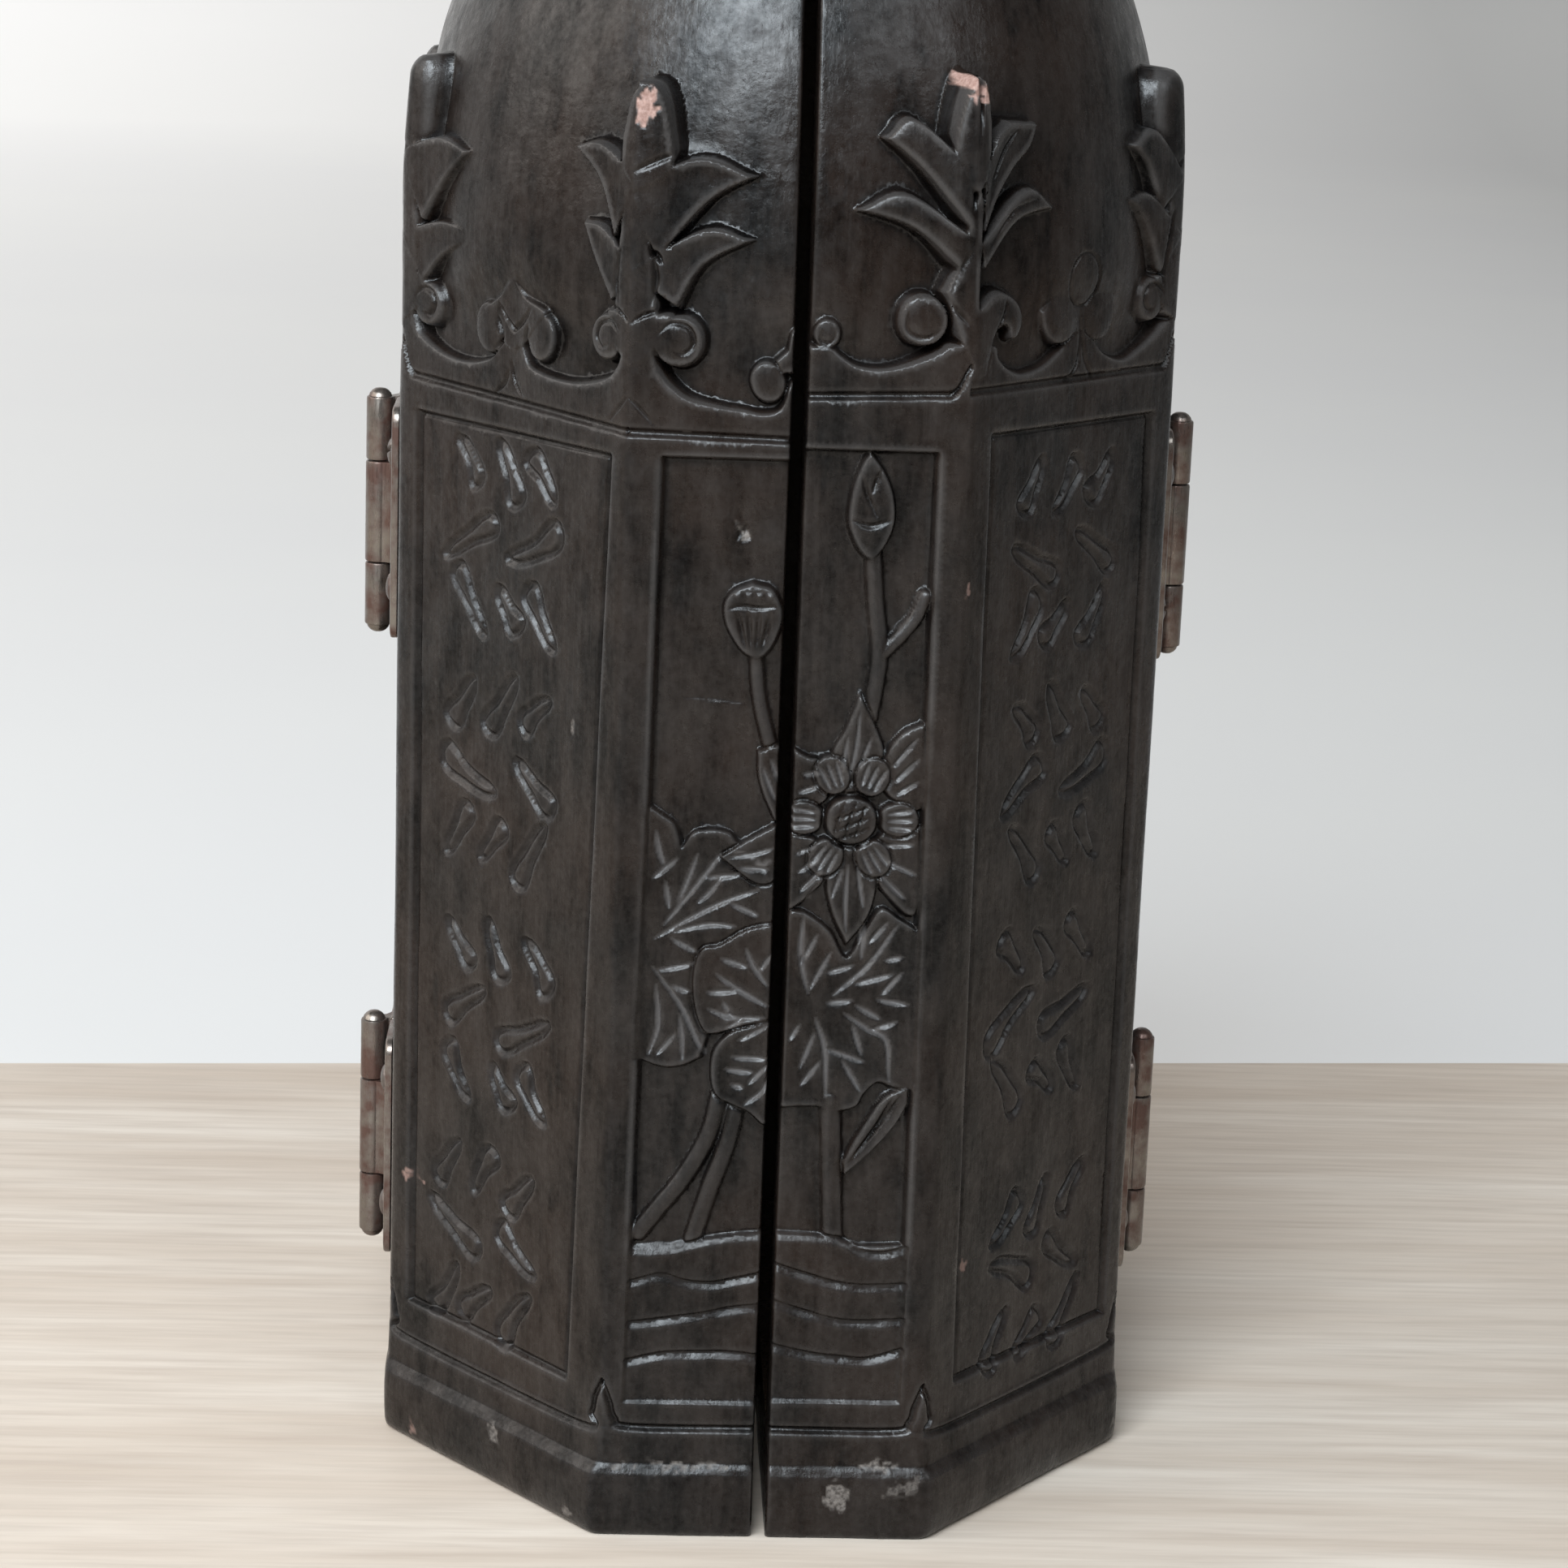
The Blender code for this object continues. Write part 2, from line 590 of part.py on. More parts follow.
def make_door(side, material, parent):
    frieze = FRIEZE_BASE[side]
    top = frieze - PANEL_TOP_BELOW_FRIEZE
    faces = door_faces(side)
    front = faces["front"]
    diagonal = faces["diagonal"]
    front_edge = front.width - FRONT_MARGIN
    diagonal_edges = (DIAGONAL_MARGIN_FRONT, diagonal.width - DIAGONAL_MARGIN_SIDE)
    door = mesh_object(side + "_door", door_block(side), material, parent)

    cuts = Guides(side + "_door_cuts")
    cuts.add(hollow_loops())
    cuts.add(panel_loops(front, -FRONT_GAP, front_edge, top, FRONT_SINK))
    cuts.add(panel_loops(diagonal, *diagonal_edges, top, DIAGONAL_SINK))
    add_pilot_holes(cuts, SIDES[side], -1)
    cuts.apply_to(door, "DIFFERENCE")

    carving = Guides(side + "_door_carving")
    leaf_cluster(carving, front.turned(), diagonal, frieze, 2)
    leaf_cluster(carving, diagonal.turned(), faces["side"], frieze, 2)
    frieze_face(carving, diagonal, frieze)
    swag(carving, front, 5.6 * MM, front.width - 6.2 * MM, frieze)
    scroll(carving, front, (5.0 * MM, frieze + 10.8 * MM), 2.6 * MM, LEAF_SPINE)
    if side == "left":
        left_relief(carving, front)
    else:
        right_relief(carving, front)
    waves(carving, front, FRONT_GAP / 2 + FIT, front_edge - FIT)
    stroke_rows(carving, diagonal, *diagonal_edges, top)
    carving.apply_to(door, "UNION")


def make_rear(material):
    frieze = FRIEZE_BASE["rear"]
    top = frieze - PANEL_TOP_BELOW_FRIEZE
    faces = rear_faces()
    rear_face = faces["rear"]
    shell = mesh_object("back_shell", rear_block(), material)

    cuts = Guides("back_shell_cuts")
    cuts.add(hollow_loops())
    cuts.add(panel_loops(rear_face, FRONT_MARGIN, rear_face.width - FRONT_MARGIN, top,
                         DIAGONAL_SINK))
    carving = Guides("back_shell_carving")
    frieze_face(carving, rear_face, frieze)
    for side, sign in SIDES.items():
        diagonal = faces[side + "_diagonal"]
        cuts.add(panel_loops(diagonal, DIAGONAL_MARGIN_SIDE,
                             diagonal.width - DIAGONAL_MARGIN_FRONT, top, DIAGONAL_SINK))
        add_pilot_holes(cuts, sign, 1)
        leaf_cluster(carving, faces[side + "_side"], diagonal, frieze, 1)
        frieze_face(carving, diagonal, frieze)
        from_edge = rear_face if side == "right" else rear_face.turned()
        leaf_cluster(carving, diagonal.turned(), from_edge, frieze, 1)
    cuts.apply_to(shell, "DIFFERENCE")
    carving.apply_to(shell, "UNION")


# Hinges

def knuckle_spans(part):
    """Heights of a leaf's knuckles, measured from the middle of the hinge."""
    half = HINGE_HEIGHT / 2
    inner = MIDDLE_KNUCKLE / 2
    if part == "door":
        return [(-inner, inner)]
    return [(-half, -inner - FIT), (inner + FIT, half)]


def make_hinge_leaf(name, sign, forward, centre, spans, material, parent):
    """A flat plate on the wood, bent out to its knuckles."""
    axis_x = APOTHEM + AXIS_OUT
    plate_in = APOTHEM + FIT
    plate_out = plate_in + PLATE_THICK
    half = HINGE_HEIGHT / 2
    near = forward * PLATE_TO_AXIS
    plate = bmesh.new()
    add_loft(plate, box_loops((sign * plate_in, near, centre - half),
                              (sign * plate_out, forward * PLATE_WIDTH, centre + half)))
    item = mesh_object(name, plate, material, parent)

    knuckles = Guides(name + "_knuckles")
    web_near = near + forward * FIT / 10
    web_far = forward * (PLATE_TO_AXIS + WEB_WIDTH)
    for low, high in spans:
        knuckles.add(round_loops((sign * axis_x, 0, centre), (0, 0, 1),
                                 [(low, KNUCKLE_RADIUS), (high, KNUCKLE_RADIUS)], KNUCKLE_SIDES))
        knuckles.add(box_loops((sign * (plate_out - PLATE_THICK / 2), web_near, centre + low),
                               (sign * (axis_x - KNUCKLE_RADIUS / 2), web_far, centre + high)))
    knuckles.apply_to(item, "UNION")

    cuts = Guides(name + "_cuts")
    bore = PIN_RADIUS + BORE_CLEARANCE
    cuts.add(round_loops((sign * axis_x, 0, centre), (0, 0, 1), [(-half - MM, bore),
                                                                (half + MM, bore)], BORE_SIDES))
    for step in (-0.5, 0.5):
        place = (sign * APOTHEM, forward * SCREW_FROM_AXIS, centre + step * SCREW_SPACING)
        cuts.add(round_loops(place, (sign, 0, 0), [(0.0, SCREW_RADIUS + FIT),
                                                   (2 * PLATE_THICK, SCREW_RADIUS + FIT)],
                             SCREW_SIDES))
    cuts.apply_to(item, "DIFFERENCE")


def make_pin(name, sign, centre, material):
    """A pin through the knuckles, with a domed head at each end."""
    half = HINGE_HEIGHT / 2 + FIT
    levels = [(-half - PIN_HEAD_RISE, PIN_HEAD_RADIUS * 0.55), (-half, PIN_HEAD_RADIUS),
              (-half + FIT / 10, PIN_RADIUS), (half - FIT / 10, PIN_RADIUS),
              (half, PIN_HEAD_RADIUS), (half + PIN_HEAD_RISE, PIN_HEAD_RADIUS * 0.55)]
    bm = bmesh.new()
    add_loft(bm, round_loops((sign * (APOTHEM + AXIS_OUT), 0, centre), (0, 0, 1), levels,
                             BORE_SIDES))
    mesh_object(name, bm, material)


def make_screw(name, sign, forward, height, material, parent):
    """A round-headed screw through a hinge plate into the wood."""
    seat = PLATE_THICK + 2 * FIT
    levels = [(seat - SCREW_LENGTH, SCREW_RADIUS), (seat, SCREW_RADIUS),
              (seat + FIT / 10, SCREW_HEAD_RADIUS),
              (seat + SCREW_HEAD_RISE, SCREW_HEAD_RADIUS * 0.6)]
    bm = bmesh.new()
    add_loft(bm, round_loops((sign * APOTHEM, forward * SCREW_FROM_AXIS, height), (sign, 0, 0),
                             levels, SCREW_SIDES))
    mesh_object(name, bm, material, parent)


def make_hinge(side, place, door_axis, brass, steel):
    sign = SIDES[side]
    centre = HINGE_CENTRES[place]
    name = side + "_" + place
    make_pin(name + "_hinge_pin", sign, centre, brass)
    for part, forward, parent in (("door", -1, door_axis), ("back", 1, None)):
        make_hinge_leaf(name + "_hinge_" + part + "_leaf", sign, forward, centre,
                        knuckle_spans(part), brass, parent)
        for number, step in enumerate((-0.5, 0.5), 1):
            make_screw(name + "_" + part + "_screw_" + str(number), sign, forward,
                       centre + step * SCREW_SPACING, steel, parent)


def make_axis(side):
    """An empty on the hinge axis of one door, which carries all that swings with it."""
    axis = bpy.data.objects.new(side + "_door_axis", None)
    bpy.context.scene.collection.objects.link(axis)
    axis.location = (SIDES[side] * (APOTHEM + AXIS_OUT), 0.0, 0.0)
    return axis


def main():
    clear_scene()
    wood = make_material("dark stained wood", (0.022, 0.017, 0.015), 0.38, 0.0)
    brass = make_material("tarnished brass", (0.19, 0.13, 0.09), 0.42, 1.0)
    steel = make_material("dark steel", (0.12, 0.11, 0.10), 0.45, 1.0)
    make_rear(wood)
    for side in SIDES:
        axis = make_axis(side)
        make_door(side, wood, axis)
        for place in HINGE_CENTRES:
            make_hinge(side, place, axis, brass, steel)


main()
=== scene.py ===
"""Looks of the folding shrine box: carved and stained wood, tarnished hinges, floor, light, camera.

The carving is drawn in millimetres on the flat faces of the block, as (along, height), and
turned into metres when a mesh is made. Each wooden piece is one closed mesh: its outer surface
is a grid of distances from the upright axis, raised and cut by the functions of Side.
"""

import math

import bmesh
import bpy
import numpy as np
from mathutils import Matrix, Vector


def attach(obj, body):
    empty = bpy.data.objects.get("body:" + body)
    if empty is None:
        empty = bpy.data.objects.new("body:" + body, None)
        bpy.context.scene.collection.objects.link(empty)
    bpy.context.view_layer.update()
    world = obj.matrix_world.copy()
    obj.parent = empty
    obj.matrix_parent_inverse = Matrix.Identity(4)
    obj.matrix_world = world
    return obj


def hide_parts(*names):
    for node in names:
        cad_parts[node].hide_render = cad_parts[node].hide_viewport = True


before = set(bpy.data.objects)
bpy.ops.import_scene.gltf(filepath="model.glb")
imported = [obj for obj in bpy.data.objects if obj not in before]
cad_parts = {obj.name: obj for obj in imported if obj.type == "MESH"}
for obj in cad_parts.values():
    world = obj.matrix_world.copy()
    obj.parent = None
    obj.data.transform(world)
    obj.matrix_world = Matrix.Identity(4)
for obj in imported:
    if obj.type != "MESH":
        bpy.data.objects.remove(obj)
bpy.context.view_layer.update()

MM = 0.001

# Block, in millimetres
APOTHEM = 55.0                  # axis to the front, rear and side faces
FRONT_HALF = 22.9               # half the width of the front and rear faces
SIDE_TO_FRONT = 18.1            # side face of a door, from the split to its front edge
SIDE_TO_REAR = 22.9             # the same on the rear half
GAP_HALF = 1.0                  # half the gap between the doors
SPLIT_GAP = 0.3                 # between a door and the rear half
RIDGE_SOFTNESS = 0.32           # rounding of the upright edges
END_ROUND = 0.6                 # rounding of the edges along the gaps

# Plinth: (height, share of the bulge), from the ground up
PLINTH_PROFILE = ((0.0, 0.30), (0.5, 0.62), (1.4, 0.86), (3.5, 1.0), (7.4, 1.0), (9.6, 0.86),
                  (10.5, 0.58), (11.1, 0.30), (13.0, 0.22), (16.0, 0.10), (16.6, 0.0))
PLINTH_GROW = {"front": 1.5, "diagonal": 2.2, "side": 0.6}
BAND_TOP = {"front": 16.3, "diagonal": 15.4, "side": 15.4}

# Frieze and dome
CROWN_REACH = 2.4               # how far in from its edge a form goes on swelling
FRIEZE_WALL = 0.8
APRON_LEVEL = -0.20             # face of the scalloped apron, below the block's faces
DOME_RADIUS = 54.6
DOME_SPRING = 178.0
DOME_RISE = 77.0
DOME_STEPS = 64
DOME_TIP = 1.8                  # radius of the last ring at the top
GROUND_SINK = 1.7               # ground behind the apron, below the block's faces
GROUND_ROUND_FROM = 168.0
GROUND_ROUND_OVER = 20.0
GROUND_ROUND_OUT = 5.0
GROUND_HOLLOW = 0.6             # ground cut back round the leaves
HOLLOW_FROM = 192.0
HOLLOW_OVER = 18.0
LEAN_FROM = 184.0               # above this height the carved faces lean in
LEAN_SPAN = 20.0
LEAN = 1.0
DEEPEST = 4.4                   # of the ground below the block's faces
DEEPEST_UP_TO = 195.0           # from here on the dome may lie deeper
DEEPEST_FADE = 12.0
DOME_DEPTH = 60.0

# Chamber inside
CHAMBER_RADIUS = 46.0
CHAMBER_FLOOR = 14.0
CHAMBER_RISE = 68.0
CHAMBER_TIP = 5.0
CHAMBER_ROWS = 26
CHAMBER_COLUMNS = 40

# Panels: (along, height) of the corners, from the bottom next to the first edge
FRONT_SINK = 1.5
DIAGONAL_SINK = 0.6
PANEL_WALL = 0.6
BAND_DEPTH = 0.75               # of the line above the plinth
FRIEZE_LINE_DEPTH = 0.55

# Grid of a carved surface
STEP = 0.25                     # between rows and columns of the fine grid, in millimetres
MOST_TRIANGLES = 186000         # of one carved skin, finer where it bends
WEAR_AND_SHADE_REACH = 4                  # grid steps over which an edge or a hollow is felt, for edges painted lighter (wear and painted highlight) and hollows painted darker (painted shade)
# height up to which edges and hollows are painted: wear and painted highlight on edges, painted
# shade in hollows
WEAR_AND_SHADE_TOP = 206.0
FINE_TOP = 208.0                # height up to which the rows are evenly fine
HAND_WAVES = 0.07
SHOULDER = 10.3                 # height of the plinth's nibbled shoulder
SHOULDER_NIBBLE = 0.25

# Frieze line of each face: height at its two ends, then how far it curls up at each
FRIEZE_LINES = {"left": {"front": (157.5, 158.0, 0.0, 0.0), "diagonal": (158.0, 160.0, 0.0, 4.5),
                         "side": (160.0, 161.0, 4.5, 0.0)},
                "right": {"front": (163.5, 164.3, 0.0, 3.6), "diagonal": (164.6, 164.2, 0.0, 4.5),
                          "side": (164.2, 161.0, 4.5, 0.0)},
                "rear": {"front": (161.0, 161.0, 0.0, 4.5), "diagonal": (161.0, 161.0, 4.5, 4.5),
                         "side": (161.0, 161.0, 4.5, 0.0)}}
REAR_FRIEZE = 161.0
CURL_WIDTH = 3.4


def smooth01(value):
    value = np.clip(value, 0.0, 1.0)
    return value * value * (3.0 - 2.0 * value)


def soft_min(first, second, softness):
    low = np.minimum(first, second)
    return low - softness * np.log(np.exp(-(first - low) / softness)
                                   + np.exp(-(second - low) / softness))


def curve(points, steps=6):
    """A smooth line through a few points."""
    points = np.array(points, float)
    if len(points) < 3:
        return points
    padded = np.vstack([2 * points[0] - points[1], points, 2 * points[-1] - points[-2]])
    shares = np.arange(steps)[:, None] / steps
    pieces = []
    for index in range(1, len(padded) - 2):
        a, b, c, d = padded[index - 1:index + 3]
        pieces.append(0.5 * (2 * b + (c - a) * shares + (2 * a - 5 * b + 4 * c - d) * shares ** 2
                             + (3 * b - a - 3 * c + d) * shares ** 3))
    return np.vstack([*pieces, points[-1:]])


def loop(points):
    """A smooth line through a few points and back to the first."""
    return curve([*points, points[0]])


def ring(centre, radii, turned=0.0, steps=26):
    turns = np.linspace(0.0, 2.0 * math.pi, steps, endpoint=False)
    along = radii[0] * np.cos(turns)
    up = radii[1] * np.sin(turns)
    cos, sin = math.cos(math.radians(turned)), math.sin(math.radians(turned))
    return np.stack([centre[0] + along * cos - up * sin, centre[1] + along * sin + up * cos], 1)


def distance_to(along, height, line):
    """Distance to a line of points, and the nearest place's share of the way along it."""
    best = np.full(along.shape, 1e9)
    share = np.zeros(along.shape)
    pieces = len(line) - 1
    for index in range(pieces):
        start = line[index]
        run = line[index + 1] - start
        length = max(float(run @ run), 1e-9)
        t = np.clip(((along - start[0]) * run[0] + (height - start[1]) * run[1]) / length, 0, 1)
        gap = np.hypot(along - start[0] - t * run[0], height - start[1] - t * run[1])
        nearer = gap < best
        best = np.where(nearer, gap, best)
        share = np.where(nearer, (index + t) / pieces, share)
    return best, share


def depth_inside(along, height, outline):
    """Distance to a closed outline, positive inside it."""
    closed = np.vstack([outline, outline[:1]])
    gap, _ = distance_to(along, height, closed)
    crossed = np.zeros(along.shape, bool)
    for (u0, z0), (u1, z1) in zip(closed[:-1], closed[1:]):
        if z0 != z1:
            straddles = (z0 > height) != (z1 > height)
            crossed ^= straddles & (along < u0 + (height - z0) * (u1 - u0) / (z1 - z0))
    return np.where(crossed, gap, -gap)


def lattice_noise(first, second, seed):
    """Smooth noise from -1 to 1, one bump for each unit of the two coordinates."""
    grid = np.random.default_rng(seed).uniform(-1.0, 1.0, (64, 64))
    i, j = np.floor(first).astype(int), np.floor(second).astype(int)
    s, t = smooth01(first - i), smooth01(second - j)
    i, j = i % 63, j % 63
    low = grid[i, j] * (1 - s) + grid[i + 1, j] * s
    high = grid[i, j + 1] * (1 - s) + grid[i + 1, j + 1] * s
    return low * (1 - t) + high * t


class Face:
    """One flat face of the block, a line from start to end in plan, as (sideways, outwards)."""

    def __init__(self, start, end):
        self.start = np.array(start)
        self.run = np.array(end) - self.start
        self.width = float(np.hypot(*self.run))
        self.run = self.run / self.width
        self.normal = np.array((-self.run[1], self.run[0]))
        self.distance = float(self.normal @ self.start)
        self.turn = math.atan2(self.normal[0], self.normal[1])

    def along(self, turns):
        """Where a ray from the axis meets the face, measured from the face's first edge."""
        reach = self.distance / np.maximum(np.cos(turns - self.turn), 0.2)
        return ((reach * np.sin(turns) - self.start[0]) * self.run[0]
                + (reach * np.cos(turns) - self.start[1]) * self.run[1])


def block_faces(side_half):
    edge = (FRONT_HALF, APOTHEM)
    corner = (APOTHEM, side_half)
    return {"front": Face((0.0, APOTHEM), edge), "diagonal": Face(edge, corner),
            "side": Face(corner, (APOTHEM, 0.0))}


def lean_at(height):
    return LEAN * (np.maximum(height - LEAN_FROM, 0.0) / LEAN_SPAN) ** 2


def dome_at(height):
    share = np.clip((height - DOME_SPRING) / DOME_RISE, 0.0, 1.0)
    return DOME_RADIUS * np.sqrt(1.0 - share ** 2)


LAYERS = ("relief", "chip", "dust", "scrape_and_highlight")


class Relief:
    """The outer surface of a piece, as distances from the axis on a grid of turn and height."""

    def __init__(self, turns, heights, faces, frieze):
        self.turn = np.broadcast_to(np.abs(turns)[None, :], (len(heights), len(turns))).ravel()
        self.height = np.broadcast_to(heights[:, None], (len(heights), len(turns))).ravel()
        self.shape = (len(heights), len(turns))
        self.sideways = np.sign(np.broadcast_to(turns[None, :], self.shape)).ravel()
        edges = (-1.0, math.atan2(*faces["diagonal"].start), math.atan2(*faces["side"].start), 9.0)
        self.sides = {name: Side(self, name, face, frieze[name], low, high)
                      for (name, face), low, high in zip(faces.items(), edges, edges[1:])}
        bulge = np.interp(self.height, *zip(*PLINTH_PROFILE))
        flat, sunk = None, None
        round_share = smooth01((self.height - GROUND_ROUND_FROM) / GROUND_ROUND_OVER)
        for name, face in faces.items():
            cosine = np.maximum(np.cos(self.turn - face.turn), 0.2)
            plane = (face.distance + PLINTH_GROW[name] * bulge - lean_at(self.height)) / cosine
            ground = (face.distance - GROUND_SINK + GROUND_ROUND_OUT * round_share) / cosine
            flat = plane if flat is None else soft_min(flat, plane, RIDGE_SOFTNESS)
            sunk = ground if sunk is None else soft_min(sunk, ground, RIDGE_SOFTNESS)
        self.block = flat
        hollow = GROUND_HOLLOW * (1 - smooth01((self.height - HOLLOW_FROM) / HOLLOW_OVER))
        ground = soft_min(sunk, dome_at(self.height) - hollow, 0.5)
        deepest = DEEPEST + DOME_DEPTH * smooth01((self.height - DEEPEST_UP_TO) / DEEPEST_FADE)
        ground = -soft_min(-ground, deepest - self.block, 0.5)
        below = np.zeros(self.turn.shape)
        for side in self.sides.values():
            on = np.flatnonzero(side.on)
            below[on] = smooth01((side.frieze_line(on) - self.height[on]) / FRIEZE_WALL + 0.5)
        self.floor = ground + below * (self.block - ground)
        self.surface = self.floor.copy()
        self.layers = {name: np.zeros(self.turn.shape) for name in LAYERS}


class Side:
    """One face of a relief, with the tools that carve it. Places on it are (along, height)."""

    def __init__(self, relief, name, face, frieze, low, high):
        self.relief = relief
        self.name = name
        self.width = face.width
        self.along = face.along(relief.turn)
        self.frieze = frieze
        self.on = (relief.turn >= low) & (relief.turn <= high)

    def frieze_line(self, spots):
        """Height of the frieze line, which curls up to the block's edges."""
        along = self.along[spots]
        first, last, curl_first, curl_last = self.frieze
        line = first + (last - first) * along / self.width
        line = line + curl_first * smooth01(1.0 - along / CURL_WIDTH) ** 2
        return line + curl_last * smooth01(1.0 - (self.width - along) / CURL_WIDTH) ** 2

    def near(self, line, margin):
        """The places near a line: their grid numbers, how far along they are and how high."""
        line = np.asarray(line, float)
        low, high = line.min(0) - margin, line.max(0) + margin
        height = self.relief.height
        spots = np.flatnonzero(self.on & (self.along > low[0]) & (self.along < high[0])
                               & (height > low[1]) & (height < high[1]))
        return spots, self.along[spots], height[spots]

    def inside(self, outline, margin):
        """The places in and just around an outline, and how deep inside it they are."""
        spots, along, height = self.near(outline, margin)
        return spots, depth_inside(along, height, np.asarray(outline, float))

    def lower(self, spots, drop):
        self.relief.surface[spots] -= drop

    def raise_to(self, spots, top):
        self.relief.surface[spots] = np.maximum(self.relief.surface[spots], top)

    def paint(self, name, spots, strength):
        layer = self.relief.layers[name]
        layer[spots] = np.maximum(layer[spots], strength)

    def lift(self, outline, level=0.0, wall=0.6, crown=0.0, rounding=0.0):
        """Leave a form standing: its top at a level above the block's face, its edge an outline.

        A crown swells the middle, or hollows it if negative; a rounding turns the edge over.
        """
        spots, depth = self.inside(outline, wall)
        cover = smooth01(depth / wall + 0.4)
        top = self.relief.block[spots] + level + crown * smooth01(depth / CROWN_REACH)
        if rounding:
            inner = rounding - np.clip(depth, 0.0, rounding)
            top = top - rounding + np.sqrt(rounding ** 2 - inner ** 2)
        floor = self.relief.floor[spots]
        self.raise_to(spots, floor + cover * (top - floor))

    def sink(self, outline, depth):
        spots, inside = self.inside(outline, PANEL_WALL)
        self.lower(spots, depth * smooth01(inside / PANEL_WALL + 0.5))

    def cut(self, points, half=0.45, depth=0.4, taper=0.6, steps=6, bare=0.0):
        """A groove along a smooth line, thinner and shallower towards its ends.

        Bare says how far the groove's own surface is painted lighter: rubbed stain and painted
        highlight.
        """
        line = curve(points, steps)
        spots, along, height = self.near(line, half)
        gap, share = distance_to(along, height, line)
        fade = np.clip(np.sin(math.pi * np.clip(share, 0.02, 0.98)), 0.0, 1.0) ** taper
        profile = np.clip(1.0 - gap / (half * (0.35 + 0.65 * fade)), 0.0, 1.0)
        self.lower(spots, depth * fade * profile)
        self.paint("scrape_and_highlight", spots, bare * fade * smooth01(2.0 * profile))

    def outline_cut(self, outline, half=0.4, depth=0.35, bare=0.0):
        """A groove all round a closed outline, straight-sided if its surface is painted lighter, as
        rubbed stain and painted highlight.
        """
        closed = np.vstack([outline, outline[:1]])
        spots, along, height = self.near(closed, half)
        gap, _ = distance_to(along, height, closed)
        profile = np.clip(1.0 - gap / half, 0.0, 1.0)
        self.lower(spots, depth * (profile if bare else smooth01(profile)))
        self.paint("scrape_and_highlight", spots, bare * smooth01(2.0 * profile))

    def mark(self, layer, centre, radii, turned=0.0, strength=1.0, sunk=0.12):
        """Paint a soft spot on one of the layers that the material reads, and sink it a little."""
        outline = ring(centre, radii, turned)
        spots, along, height = self.near(outline, 1.5)
        ragged = 0.8 * lattice_noise(along * 1.7, height * 1.7, 5)
        spot = strength * smooth01((depth_inside(along, height, outline) + ragged) / 0.5 + 0.5)
        self.paint(layer, spots, spot)
        rough = lattice_noise(along * 2.3, height * 2.3, 9)
        self.lower(spots, sunk * spot * (1.0 + 0.8 * rough))


# Motifs of the frieze

LEAF_STYLES = {"left": {"crown": -0.15, "rounding": 0.0},
               "right": {"crown": 0.15, "rounding": 0.9},
               "plain": {"crown": 0.0, "rounding": 0.5}}


def leaf_outline(high, crest, tip, belly, low):
    """A leaf from its upper root over its crest to the tip, and back along its belly."""
    return np.vstack([curve([high, crest, tip]), curve([tip, belly, low])[1:]])


def frieze_leaf(side, style, *points):
    side.lift(leaf_outline(*points), -0.05, 0.6, **LEAF_STYLES[style])


def volute(side, centre, radius, neck):
    """A round eye at the end of a scroll, and the neck that joins it to the block's edge."""
    side.lift(ring(centre, (radius, radius)), -0.25, 0.7, crown=0.2)
    side.lift(curve([*neck, neck[0]], 4), -0.1, 0.6)
    towards = 1.0 if np.mean(neck, 0)[0] > centre[0] else -1.0
    turns = np.radians((20, 70, 125, 180, 235, 290))
    reach = radius * np.array((0.80, 0.72, 0.64, 0.58, 0.50, 0.36))
    spiral = np.stack([centre[0] + towards * reach * np.cos(turns),
                       centre[1] + reach * np.sin(turns)], 1)
    side.cut(spiral, 0.5, 0.55)


def bud(side, edge, inward, top, half):
    """Half of a finger-like bud that stands on an upright edge."""
    outline = [(-4.0, top), (0.3 * half, top), (0.72 * half, top - 1.0), (0.95 * half, top - 3.0),
        (half, top - 6.5), (0.96 * half, top - 11.0), (0.9 * half, top - 14.0), (-4.0, top - 15.0)]
    points = [(edge + inward * out, up) for out, up in outline]
    side.lift(curve(points), 0.0, 0.7, rounding=3.0)


def apron(side, base, top):
    """The scalloped foot of the frieze, up to a smooth top line."""
    line = curve(top)
    foot = np.array([(line[-1][0], base - 2.0), (line[0][0], base - 2.0)])
    side.lift(np.vstack([line, foot]), APRON_LEVEL, 0.8)


def frieze_groove(side):
    """The line cut along the foot of the frieze."""
    height = side.relief.height
    spots = np.flatnonzero(side.on & (np.abs(height - side.frieze[0]) < 9.0))
    above = height[spots] - side.frieze_line(spots)
    side.lower(spots, FRIEZE_LINE_DEPTH * smooth01(1.0 - np.abs(above - 0.3) / 0.75))


